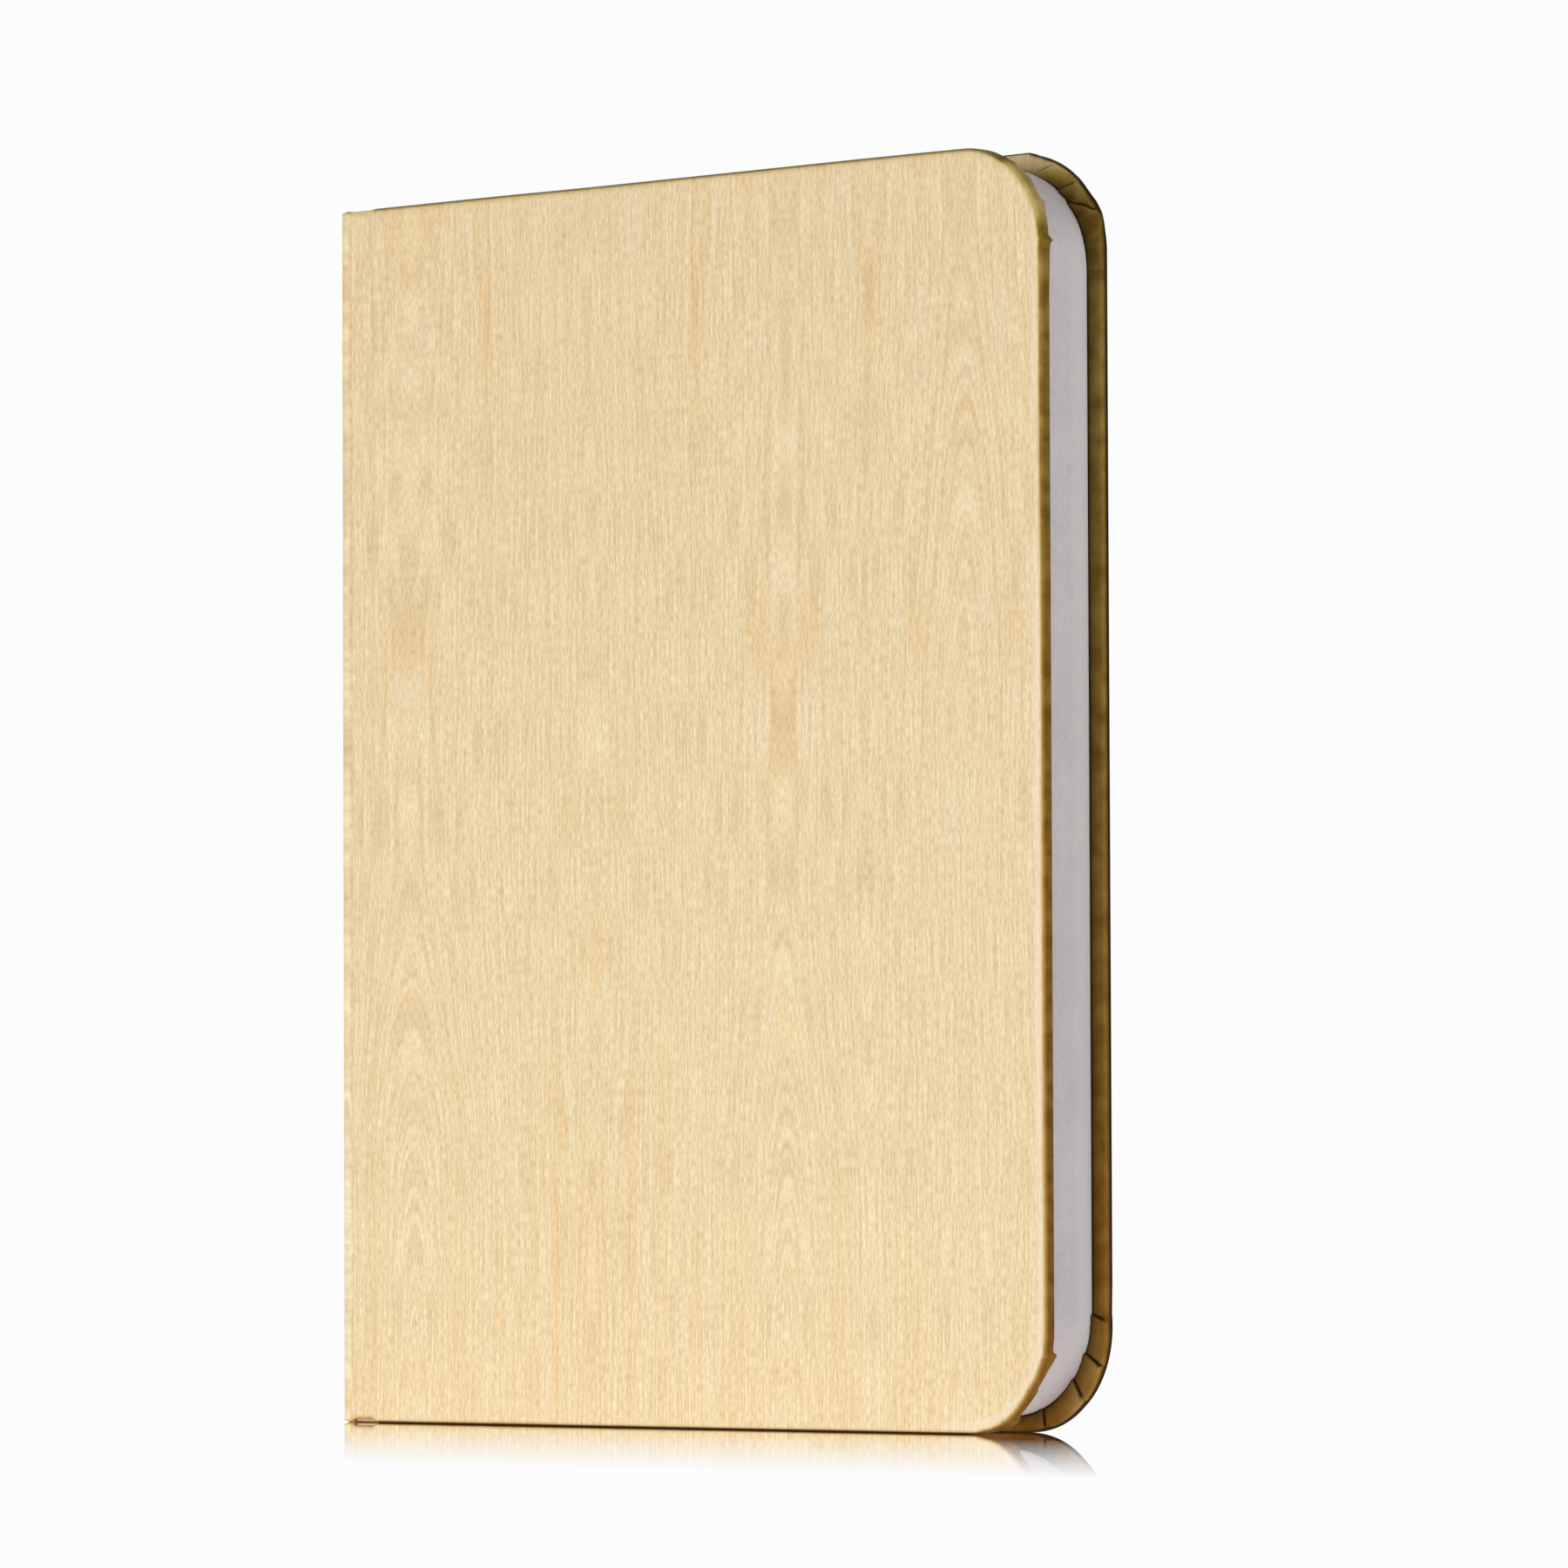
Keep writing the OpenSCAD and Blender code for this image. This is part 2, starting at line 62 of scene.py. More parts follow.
LEAF_Y = RIM_Y - LEAF_T
GROOVE_END = 8.2
GROOVE_Y = FACE_Y - 0.4
BLOCK_INSET = 2.8
PLEATS = 12
PLEAT_PITCH = LEAF_Y / PLEATS
NOSE_X, ROOT_LEN = 15.5, 12.5
SPINE_T = 2.3
SPINE_IN = 2.62
PORT_Z, PORT_H = 14.0, 8.2
PORT_HALF, PORT_HALF_END = 1.6, 1.2
SIDES = (("front", -1), ("back", 1))
CORNERS = ("low", "high")


def place(x, y, z):
    """A point in millimetres from the spine, as metres in the lamp's frame."""
    return Vector((x - COVER_W / 2, y, z)) / 1000


def ease(low, high, value):
    """0 below low, 1 above high, and a smooth step between them."""
    t = min(max((value - low) / (high - low), 0), 1)
    return t * t * (3 - 2 * t)


def between(table, at):
    """The value of a table of (place, value) pairs at a place, straight between its rows."""
    if at <= table[0][0]:
        return table[0][1]
    for (a, va), (b, vb) in zip(table, table[1:]):
        if at <= b:
            return va + (vb - va) * (at - a) / (b - a)
    return table[-1][1]


# --- Finishes ---------------------------------------------------------------------------------

def linear(code):
    """An sRGB hex colour as linear red, green, blue and alpha."""
    parts = [int(code[i:i + 2], 16) / 255 for i in (1, 3, 5)]
    return [c / 12.92 if c <= 0.04045 else ((c + 0.055) / 1.055) ** 2.4 for c in parts] + [1]


def add(tree, kind, inputs=None, **settings):
    """Adds a node. Settings are its properties, inputs are values, sockets or nodes."""
    node = tree.nodes.new(kind)
    for name, value in settings.items():
        setattr(node, name, value)
    for name, value in (inputs or {}).items():
        if isinstance(value, bpy.types.Node):
            value = value.outputs[0]
        if isinstance(value, bpy.types.NodeSocket):
            tree.links.new(value, node.inputs[name])
        else:
            node.inputs[name].default_value = value
    return node


def calc(tree, operation, *values):
    """The result of a maths node."""
    return add(tree, "ShaderNodeMath", dict(enumerate(values)), operation=operation).outputs[0]


def calc_vector(tree, operation, *values):
    """A vector maths node."""
    return add(tree, "ShaderNodeVectorMath", dict(enumerate(values)), operation=operation)


def remap(tree, value, low=0.0, high=1.0, to_low=0.0, to_high=1.0, **settings):
    """A value's range from low to high, turned into another and held at its ends."""
    return add(tree, "ShaderNodeMapRange", {
        "Value": value, "From Min": low, "From Max": high, "To Min": to_low, "To Max": to_high},
        **settings).outputs[0]


def mix_colour(tree, share, first, second, **settings):
    """Two colours mixed by the share of the second."""
    return add(tree, "ShaderNodeMix", {0: share, 6: first, 7: second}, data_type="RGBA",
               **settings).outputs[2]


def stretched_noise(tree, spot, scale, detail, roughness=0.5):
    """Noise with scale features per metre of the sheet, across and along it."""
    at = add(tree, "ShaderNodeMapping", {"Vector": spot, "Scale": (*scale, 1)})
    return add(tree, "ShaderNodeTexNoise", {"Vector": at, "Scale": 1, "Detail": detail,
                                            "Roughness": roughness})


def mark_of(tree, name):
    """A named weight of the mesh."""
    return add(tree, "ShaderNodeAttribute", attribute_name=name).outputs["Fac"]


def ramp(tree, factor, *stops):
    """A colour ramp with (position, sRGB hex colour) stops."""
    node = add(tree, "ShaderNodeValToRGB", {"Fac": factor})
    band = node.color_ramp.elements
    while len(band) < len(stops):
        band.new(0.5)
    for element, (at, colour) in zip(band, stops):
        element.position = at
        element.color = linear(colour)
    return node.outputs[0]


def finish_of(name, **values):
    """A new material with one Principled shader: the material, its tree and the shader."""
    material = bpy.data.materials.new(name)
    material.use_nodes = True
    tree = material.node_tree
    tree.nodes.clear()
    shader = add(tree, "ShaderNodeBsdfPrincipled", values)
    add(tree, "ShaderNodeOutputMaterial", {"Surface": shader})
    return material, tree, shader


def emboss(tree, shader, height, strength, depth_mm):
    """Raises a finish by a height, as bump."""
    bump = add(tree, "ShaderNodeBump", {"Strength": strength, "Distance": depth_mm / 1000,
                                        "Height": height})
    tree.links.new(bump.outputs[0], shader.inputs["Normal"])


# Heart of each arched figure in the printed grain in millimetres: place on the sheet, foot, top and
# spread. Rings of two figures run into each other over 8 mm.
ARCHES = ((26.0, 0, 104, 12), (118.0, 5, 96, 9), (160.0, 100, 205, 9), (-52.0, 10, 120, 11),
          (-128.0, 70, 190, 10))
RINGS_MEET = 0.008


def ring_depth(tree, sheet):
    """Distance from the nearest arch's heart in metres: its level lines are the growth rings."""
    spot = add(tree, "ShaderNodeSeparateXYZ", {0: sheet}).outputs
    nearest = None
    for heart, foot, top, spread in ARCHES:
        across = calc(tree, "SUBTRACT", spot["X"], heart / 1000)
        depth = remap(tree, spot["Y"], foot / 1000, top / 1000, 0.0, spread / 1000,
                      interpolation_type="SMOOTHSTEP")
        off = add(tree, "ShaderNodeCombineXYZ", {"X": across, "Y": depth})
        ring = calc_vector(tree, "LENGTH", off).outputs["Value"]
        nearest = ring if nearest is None else calc(tree, "SMOOTH_MIN", nearest, ring, RINGS_MEET)
    return nearest


def wood_grain_paper():
    """Vinyl-faced paper printed as pale maple: soft sheen, upright streaks with short pores.

    The mark pale_band is a paler line beside a rolled edge. The mark browning_and_shade turns it
    golden at 0.5 and dark brown at 1, where it is rolled over an edge and turned in: partly the
    edge's own browning and partly painted shade. The mark shade_line is a dark line of painted
    shade in the creases, where the leaf meets the rim and along the outline.
    """
    material, tree, shader = finish_of("wood_grain_vinyl_paper", IOR=1.47)
    sheet = add(tree, "ShaderNodeUVMap", uv_map="sheet")
    along = add(tree, "ShaderNodeSeparateXYZ", {0: sheet}).outputs["Y"]
    # Slow sideways drift of the grain by up to 4 mm, 40 mm wide and 130 mm long
    drift = stretched_noise(tree, sheet, (25, 7.7), 1, 0.4)
    shift = add(tree, "ShaderNodeCombineXYZ", {"X": remap(tree, drift, 0, 1, -0.004, 0.004)})
    grain = calc_vector(tree, "ADD", sheet, shift)
    rings = add(tree, "ShaderNodeCombineXYZ", {"X": ring_depth(tree, grain), "Y": along})
    # Growth bands 8 mm wide and 0.3 m long, which shade to a thin tan line at three levels
    bands = stretched_noise(tree, rings, (130, 3.5), 1.5)
    # Streaks 0.4 mm wide and 12 mm long
    streaks = stretched_noise(tree, rings, (2300, 80), 1)
    # Pores 0.4 mm wide and 1.5 mm long: coarser than real, so that they show
    pores = stretched_noise(tree, grain, (2500, 650), 1)
    height = calc(tree, "MULTIPLY", along, 1000 / COVER_H)
    face = ramp(tree, bands, (0.3, "#EDDDB7"), (0.4, "#ECDAB1"), (0.41, "#EBD4A6"),
                (0.42, "#EDDDB7"), (0.51, "#EBD7AB"), (0.52, "#EACF9E"), (0.53, "#EDDDB7"),
                (0.62, "#EBD7AB"), (0.63, "#EBD2A2"), (0.64, "#EDDCB5"))
    # Streaks and pores, and a painted shade that darkens the face a little towards the top
    for layer in (ramp(tree, streaks, (0.3, "#FFFFFF"), (0.7, "#EDE6DE")),
                  ramp(tree, pores, (0.35, "#FFFFFF"), (0.7, "#EBE4DB")),
                  ramp(tree, height, (0.0, "#FFFFFF"), (1.0, "#F1EFEC"))):
        face = mix_colour(tree, 1.0, face, layer, blend_type="MULTIPLY")
    face = mix_colour(tree, mark_of(tree, "pale_band"), face, linear("#E6D3BC"))
    # Patches of uneven browning and painted shade, 4 mm across
    patches = stretched_noise(tree, sheet, (240, 240), 3)
    uneven = remap(tree, patches, 0.3, 0.7, 0.8, 1.2)
    browning_and_shade = calc(tree, "MULTIPLY", mark_of(tree, "browning_and_shade"), uneven)
    # Painted shade over the edge's own browning: golden at half the mark, dark brown at all of it
    golden = ramp(tree, height, (0.3, "#B2863A"), (0.9, "#B2994C"))
    brown = ramp(tree, height, (0.0, "#835417"), (1.0, "#775C20"))
    edge = mix_colour(tree, remap(tree, browning_and_shade, 0.0, 0.5), face, golden)
    edge = mix_colour(tree, remap(tree, browning_and_shade, 0.5, 1.0), edge, brown)
    # Painted shade: a dark line in the creases, where the leaf meets the rim and along the outline
    shade_line = mark_of(tree, "shade_line")
    lined = mix_colour(tree, shade_line, edge, linear("#2A1804"))
    tree.links.new(lined, shader.inputs["Base Color"])
    # The browned edges and the painted shade have less sheen
    dull = calc(tree, "ADD", browning_and_shade, shade_line)
    for name, least in (("Specular IOR Level", 0.1), ("Roughness", 0.9)):
        tree.links.new(remap(tree, dull, 0, 1, 0.5, least), shader.inputs[name])
    emboss(tree, shader, calc(tree, "ADD", streaks, pores), 0.1, 0.1)
    return material


# Where painted light brightens the leaves' outer edge, in metres: y to the back, x to the fore-edge
PALER_Y, PALER_X = (0.0015, 0.0066), (0.078, 0.0815)


def spunbond_paper():
    """Spunbond polyethylene paper: matt cool white, faintly mottled with long fibres."""
    material, tree, shader = finish_of("spunbond_paper", IOR=1.5, Roughness=0.62)
    at = add(tree, "ShaderNodeTexCoord").outputs["Object"]
    # Fibre swirls about 2 mm across, and clouds of 12 mm
    fibres = add(tree, "ShaderNodeTexNoise", {"Vector": at, "Scale": 480, "Detail": 3,
                                              "Distortion": 1.6})
    clouds = add(tree, "ShaderNodeTexNoise", {"Vector": at, "Scale": 80, "Detail": 2})
    both = add(tree, "ShaderNodeMix", {0: 0.5, 2: fibres, 3: clouds}, data_type="FLOAT")
    colour = ramp(tree, both, (0.35, "#E2DADD"), (0.65, "#EEE6E9"))
    # Painted light: the outer edge of the block gets paler to the back
    spot = add(tree, "ShaderNodeSeparateXYZ", {0: at}).outputs
    painted_light = calc(tree, "MULTIPLY", remap(tree, spot["Y"], *PALER_Y),
                   remap(tree, spot["X"], *PALER_X))
    pale = mix_colour(tree, painted_light, colour, linear("#FFFFFF"))
    tree.links.new(pale, shader.inputs["Base Color"])
    emboss(tree, shader, fibres, 0.1, 0.1)
    return material


def speckled(name, low, high, grit_mm, roughness, bump_mm=0.0, **more):
    """A finish with a fine grit between two colours: card, foam, moulded or cast surfaces."""
    material, tree, shader = finish_of(name, **{"Roughness": roughness, **more})
    at = add(tree, "ShaderNodeTexCoord").outputs["Object"]
    grit = add(tree, "ShaderNodeTexNoise", {"Vector": at, "Scale": 1000 / grit_mm, "Detail": 2})
    colour = ramp(tree, grit, (0.35, low), (0.65, high))
    tree.links.new(colour, shader.inputs["Base Color"])
    if bump_mm:
        emboss(tree, shader, grit, 0.4, bump_mm)
    return material


COVERING = wood_grain_paper()
LEAF = spunbond_paper()
# Greyboard shows pressed pulp flecks on its cut edge
CARD = speckled("pressed_greyboard", "#9C8E74", "#BBAC8F", 0.8, 0.9, 0.05)
# Moulded ABS has a fine spark-eroded texture that breaks its sheen
ABS = speckled("moulded_white_abs", "#E9E9E6", "#F4F4F1", 0.35, 0.42, 0.01, IOR=1.53)
# Frosted polycarbonate lets light through and looks milky, never clear
FROSTED = speckled("frosted_polycarbonate", "#F2F3F1", "#FBFBF9", 0.3, 0.35, 0.006,
                   **{"IOR": 1.58, "Subsurface Weight": 0.3,
                      "Subsurface Radius": (0.002, 0.002, 0.002)})
# Foam tape has an open, dull surface
TAPE = speckled("foam_mounting_tape", "#E2E2DE", "#F0F0EC", 0.5, 0.8, 0.03)
# White solder mask over an aluminium strip
STRIP_BOARD = speckled("white_solder_mask", "#EDEDE8", "#F6F6F2", 1.5, 0.4)
# Yellow phosphor in clear silicone over each light
PHOSPHOR = speckled("phosphor_silicone", "#EBD46A", "#F4E48C", 0.2, 0.25, IOR=1.41)
# Insulation of the leads: silicone is duller than the red PVC
SILICONE = speckled("white_silicone_lead", "#D4D4D2", "#E2E2E0", 0.6, 0.5)
PVC = speckled("red_pvc_lead", "#A32420", "#B7302B", 0.6, 0.45)
# Laminated foil of a pouch cell, softly crinkled
POUCH = speckled("aluminium_pouch_foil", "#A9ACB0", "#C6C9CC", 3.0, 0.38, 0.05, Metallic=1.0)
# Closed cells make a dark, quite dull pad
FOAM = speckled("closed_cell_foam", "#2C2C2E", "#414143", 0.4, 0.95, 0.08)
# Green lacquer of the control board, and the black resin of its parts
SOLDER_MASK = speckled("green_solder_mask", "#14502B", "#1E6B3A", 1.2, 0.35)
EPOXY = speckled("moulded_epoxy", "#1C1C1D", "#29292A", 0.15, 0.55, 0.01)
# Bright plating of screws, magnets and socket
NICKEL = speckled("nickel_plated_steel", "#B9BABC", "#CFD0D2", 0.5, 0.28, 0.004, Metallic=1.0)

CAD_FINISHES = {
    "spine_board": CARD, "front_board": CARD, "back_board": CARD, "spine_tape": TAPE,
    "core_channel": ABS, "top_cap": ABS, "bottom_cap": ABS, "light_bar": ABS,
    "nose_diffuser": FROSTED,
    "front_light_board": STRIP_BOARD, "back_light_board": STRIP_BOARD,
    "front_lights": PHOSPHOR, "back_lights": PHOSPHOR, "light_leads": SILICONE,
    "battery_leads": PVC, "battery_cells": POUCH, "cell_pads": FOAM,
    "control_board": SOLDER_MASK, "board_parts": EPOXY, "hall_sensor": EPOXY,
    "cap_screws": NICKEL, "board_screws": NICKEL, "charge_socket": NICKEL,
    "front_magnets": NICKEL, "back_magnets": NICKEL, "switch_magnet": NICKEL,
}
for name, finish in CAD_FINISHES.items():
    nodes[name].data.materials.clear()
    nodes[name].data.materials.append(finish)


# --- Meshes -----------------------------------------------------------------------------------

def new_piece(name, points, faces, finish, sheet=None, marks=None):
    """A mesh piece. sheet is each point's place on the flat covering, marks its named weights."""
    mesh = bpy.data.meshes.new(name)
    mesh.from_pydata([place(*p) for p in points], [], faces)
    for mark, values in (marks or {}).items():
        mesh.attributes.new(mark, "FLOAT", "POINT").data.foreach_set("value", values)
    if sheet:
        layer = mesh.uv_layers.new(name="sheet")
        for loop in mesh.loops:
            layer.data[loop.index].uv = [c / 1000 for c in sheet[loop.vertex_index]]
    shape = bmesh.new()
    shape.from_mesh(mesh)
    bmesh.ops.recalc_face_normals(shape, faces=shape.faces)
    for face in shape.faces:
        face.smooth = True
    shape.to_mesh(mesh)
    shape.free()
    mesh.materials.append(finish)
    piece = bpy.data.objects.new(name, mesh)
    bpy.context.scene.collection.objects.link(piece)
    return piece


# Each cover's edge. A corner has an edge of (angle, radius), seen from the corner's middle, and
# tucks of the turned-in covering as (angle, slant in degrees per millimetre, height, inset where
# the painted shade of its crease starts). tone is how far the turn-in is browned and painted in
# shade, by angle, and shade how dark the painted shade of its outer line is. top is how far the
# top edge sinks, and top_tone its browning and painted shade, by place. Down the fore-edge, by
# height, roll is how much later than its rolled corner the covering turns brown with browning and
# painted shade, roll_width over what width it does, and face_paleness how pale its face is beside
# it. face_roll is the radius of the outer corner, swell how far the fore-edge bulges, and
# board_share how much of a dent in the outline the covering may follow where the board lies under
# it.
FORM = {
    "front": {
        "low": {
            "edge": [(-90, 18.0), (-76, 18.1), (-59, 18.6), (-53, 17.9), (-43, 17.55),
                     (-34, 17.45), (-24, 17.95), (-14.8, 18.8), (-12.3, 18.1), (0, 18.0)],
            "tucks": [(-76, 0.3, 0.3, 0.5), (-57, 0.3, 0.4, 0.5), (-36, 0.3, 0.3, 0.5),
                      (-14.2, 0, 0.45, 0.3)],
            "tone": [(-90, 0.8), (0, 0.9)],
            "shade": [(-90, 1.0), (-75, 0.4), (-50, 0.1), (0, 0.0)]},
        "high": {
            "edge": [(0, 18.0), (2.8, 18.1), (4.4, 18.75), (7, 18.05), (18, 18.1), (25.9, 18.5),
                     (29, 18.1), (42, 18.1), (50, 17.9), (55, 18.05), (61, 17.75), (90, 17.72)],
            "tucks": [(4, 0, 0.45, 0.3), (25.5, 0, 0.4, 0.3), (45, 0.3, 0.35, 0.5),
                      (63, 0.3, 0.3, 0.5), (78, 0.3, 0.25, 0.5)],
            "tone": [(0, 0.95), (12, 0.85), (22, 0.48), (55, 0.4), (70, 0.38), (90, 0.3)],
            "shade": [(0, 0.0), (34, 0.0), (40, 0.3), (50, 0.0), (60, 0.8), (72, 0.6), (90, 0.6)]},
        "top": [(40, 0.0), (60, 0.12), (140, 0.08), (150, 0.28)],
        "top_tone": [(0, 0.3), (170, 0.3)],
        "roll": [(0, 0.1), (50, 0.0), (107, 0.12), (167, -0.13), (202, -0.13), (206, -0.45),
                 (215, -0.6)],
        "roll_width": [(0, 1.2), (50, 1.45), (107, 1.0), (167, 0.75), (202, 0.8), (206, 1.2),
                       (215, 1.3)],
        "face_paleness": [(0, 0.5), (130, 0.5), (160, 0.1), (180, 0.35), (200, 0.2), (212, 0.0)],
        "face_roll": 0.6, "swell": 0.12, "shade": 0.0, "board_share": 0.55,
    },
    "back": {
        "low": {
            "edge": [(-90, 18.0), (-70, 17.95), (-50, 17.85), (-38, 18.0), (-23, 18.1), (0, 18.0)],
            "tucks": [(-75.1, 0.5, 0.4, 0.4), (-42.3, 1.2, 0.5, 0.5), (-20.6, 0.9, 0.55, -0.4),
                      (4.5, 1.8, 0.4, 0.2)],
            "tone": [(-90, 0.85), (-62, 0.78), (-50, 0.58), (-30, 0.6), (-12, 0.72), (0, 0.8)],
            "shade": [(-90, 0.95), (0, 0.95)]},
        "high": {
            "edge": [(0, 18.0), (12, 18.1), (20, 18.65), (22.5, 18.8), (29, 18.1), (34, 17.75),
                     (39, 17.6), (46, 17.6), (51, 17.55), (60, 17.57), (70, 17.64), (80, 17.78),
                     (84, 18.1), (90, 18.0)],
            "tucks": [(29.3, 4, 0.55, -2), (45.9, 1.9, 0.45, 0.3), (67.1, 4.2, 0.4, 1.2)],
            "tone": [(0, 1.0), (30, 0.95), (50, 0.76), (72, 0.3), (90, 0.14)],
            "shade": [(0, 0.95), (90, 0.95)]},
        "top": [(120, 0.1), (150, 0.0)],
        "top_tone": [(100, 0.9), (152, 0.14)],
        "roll": [(0, 0.0), (215, 0.0)],
        "roll_width": [(0, 0.75), (215, 0.75)],
        "face_paleness": [(0, 0.4), (215, 0.4)],
        "face_roll": 0.35, "swell": 0.2, "shade": 0.95, "board_share": 1.0,
    },
}
RIM_ROLL, GROOVE_ROLL = 0.35, 0.32
GROOVE_SHEETS = 2 * SHEET + 0.05
# Where, on the flat sheet outwards from the edge, the face starts to brown, partly as painted shade
ROLL_START = -0.95
# Rows of the section: steps round a rolled corner and across the edge, then insets on the face, on
# the turn-in and inside it. The inside stays off the board, and its corners are cut off.
ROLL_STEPS, FLAT_STEPS = 6, 4
FACE_DEPTH = 14.0
FACE_ROWS = (FACE_DEPTH, 9, 5, 3.2, 2.5, 2.0, 1.5, 1.1, 0.8)
TURN_IN_ROWS = (0.7, 1.0, 1.4, 1.8, 2.2, 2.5, 2.7, 2.9, 3.1, 3.4, 3.7, 4.0, 4.3, 4.8, 6, TURN_IN)
INSIDE_ROWS = (TURN_IN, 6, 3.6)
BOARD_GAP, CUT_OFF = 0.02, 0.15
# Stations beside each tuck, in degrees, and the angles over which the first one rises and each one
# drops. A crease's painted shade is this wide at its drop, and a tuck's slant fades this far past
# the last one.
TUCK_STEPS = (-3.2, -1.6, -0.8, -0.4, -0.15, 0, 0.25, 0.5, 0.8, 1.2, 2.0)
TUCK_RISE, TUCK_DROP, CREASE_WIDTH, SLANT_FADE = 12, 0.5, 0.8, 14
# How far the covering in the hinge groove ends short of the foot and the top, and the places along
# them where its section gives way to that of the board's edge
FOOT_GAP, TOP_GAP = 0.5, 0.15
GROOVE_TO_BOARD = (7.0, 9.2)
# Run on the flat sheet past which the covering faces the leaves
FACES_LEAVES = 1.5


def rolled_edge(out_y, in_y, roll, rim_roll):
    """Section of the covering round an edge, from the face over the edge and in under the leaf.

    Rows are inset from the edge, height y, and distance on the flat sheet outwards from the edge.
    """
    quarter = [math.pi / 2 * k / ROLL_STEPS for k in range(ROLL_STEPS + 1)]
    rows = [(d, out_y, -d) for d in FACE_ROWS]
    rows += [(roll * (1 - math.sin(t)), out_y - roll * (1 - math.cos(t)), roll * (t - 1))
             for t in quarter]
    run, flat = roll * (math.pi / 2 - 1), out_y - roll - in_y - rim_roll
    for k in range(1, FLAT_STEPS):
        part = flat * k / FLAT_STEPS
        rows.append((0, out_y - roll - part, run + part))
    run += flat
    rows += [(rim_roll * (1 - math.cos(t)), in_y + rim_roll * (1 - math.sin(t)), run + rim_roll * t)
             for t in quarter]
    run = rows[-1][2] - rim_roll
    rows += [(d, in_y, run + d) for d in TURN_IN_ROWS]
    visible = len(rows)
    rows += [(d, in_y + SHEET, run + d) for d in (*INSIDE_ROWS, SHEET + CUT_OFF)]
    rows += [(SHEET + BOARD_GAP, y, 0) for y in (in_y + SHEET, out_y - SHEET)]
    rows += [(d, out_y - SHEET, -d) for d in (SHEET + CUT_OFF, FACE_DEPTH)]
    return rows, visible


BOARD_EDGES = {side: rolled_edge(FACE_Y, RIM_Y, FORM[side]["face_roll"], RIM_ROLL)[0]
               for side, _ in SIDES}
GROOVE_EDGE, VISIBLE_ROWS = rolled_edge(GROOVE_Y, GROOVE_Y - GROOVE_SHEETS, GROOVE_ROLL,
                                        GROOVE_ROLL)


def tuck_at(tucks, angle):
    """The gathered covering at an angle: its height, how dark its crease's painted shade is, where
    that starts.
    """
    rise, line, inset = 0.0, 0.0, 0.0
    start = tucks[0][0] - TUCK_RISE
    for at, _, height, first in tucks:
        if start <= angle <= at:
            rise = max(rise, height * ((angle - start) / (at - start)) ** 1.7)
        elif at < angle < at + TUCK_DROP:
            rise = height * (1 - (angle - at) / TUCK_DROP)
        near = math.exp(-((angle - at - TUCK_DROP) / CREASE_WIDTH) ** 2)
        if near > line:
            line, inset = near, first
        start = at + TUCK_DROP
    return rise, line, inset


def leaf_inset(kind, at):
    """How far inside the cover's edge the leaves end, at a station."""
    if kind not in CORNERS:
        return BLOCK_INSET
    t = math.radians(at if kind == "high" else -at)
    along = BLOCK_INSET * (math.cos(t) + math.sin(t))
    off = BLOCK_INSET * (math.cos(t) - math.sin(t))
    return CORNER_R + along - math.sqrt(CORNER_R ** 2 - off ** 2)


def edge_stations(form):
    """Places round a cover's edge, from the foot by the hinge to the top by the hinge.

    Each is a kind of edge and a place along it: millimetres, or degrees at a corner.
    """
    hinge = [SPINE_T + 0.35 * k for k in range(24)]
    along = hinge + [11, 12.5, 16] + [20 + 11 * k for k in range(12)]
    stations = [("foot", x) for x in along]
    for corner, first in zip(CORNERS, (-90, 0)):
        tucks = form[corner]["tucks"]
        angles = {first + 2.25 * k for k in range(41)}
        angles = {a for a in angles if all(abs(a - t[0]) > 1.6 for t in tucks)}
        angles |= {t[0] + step for t in tucks for step in TUCK_STEPS}
        angles |= {a for a, _ in form[corner]["edge"]}
        stations += [(corner, a) for a in sorted(angles)]
        if corner == "low":
            stations += [("fore", CORNER_R + 7 + 15 * k) for k in range(12)]
    return stations + [("top", x) for x in reversed(along)]


# Ranges over which a cover's form and marks fade, as insets from its edge or as runs on the sheet
SWELL_INSETS, BULGE_INSETS, LEAN_INSETS = (0.8, 2.5), (0.8, 2.7), (4.2, 7)
SWELL_RUNS, RIM_RUNS, DENT_RUNS, LIFT_RUNS = (-0.4, 0.3), (-0.2, 1.4), (1.45, 1.8), (0.1, 1.3)
PALE_BAND_START, PALE_BAND_END = (0.5, 1.0), (1.6, 2.5)
# A tuck leans about this inset, and no further past that one
LEAN_PIVOT, LEAN_END = 1.5, 4
# The leaf's dark contact line, a painted shadow: this far outside its edge, and this wide. The
# painted shade before it starts at this inset and is no darker than this.
CONTACT_OFF, CONTACT_WIDTH = 0.15, 0.45
SHADE_START, SHADE_MOST = 0.5, 0.6


def outer_line(side, share, kind, at, run):
    """How dark the painted shade along the outline is: on the back cover its outer corner, on the
    front its top and foot.

    The back cover's line gets wider where its edge turns away from the photo's view.
    """
    if side == "front":
        first = -0.45 if kind == "foot" or at < -60 else -0.7
        return share * ease(first, first + 0.4, run) * (1 - ease(2.0, 2.3, run))
    facing = math.cos(math.radians(at)) if kind in CORNERS else float(kind == "fore")
    last = min(0.25 + 0.55 / max(facing, 0.05), 2.0)
    return share * ease(-0.35, -0.1, run) * (1 - ease(last - 0.15, last + 0.3, run))


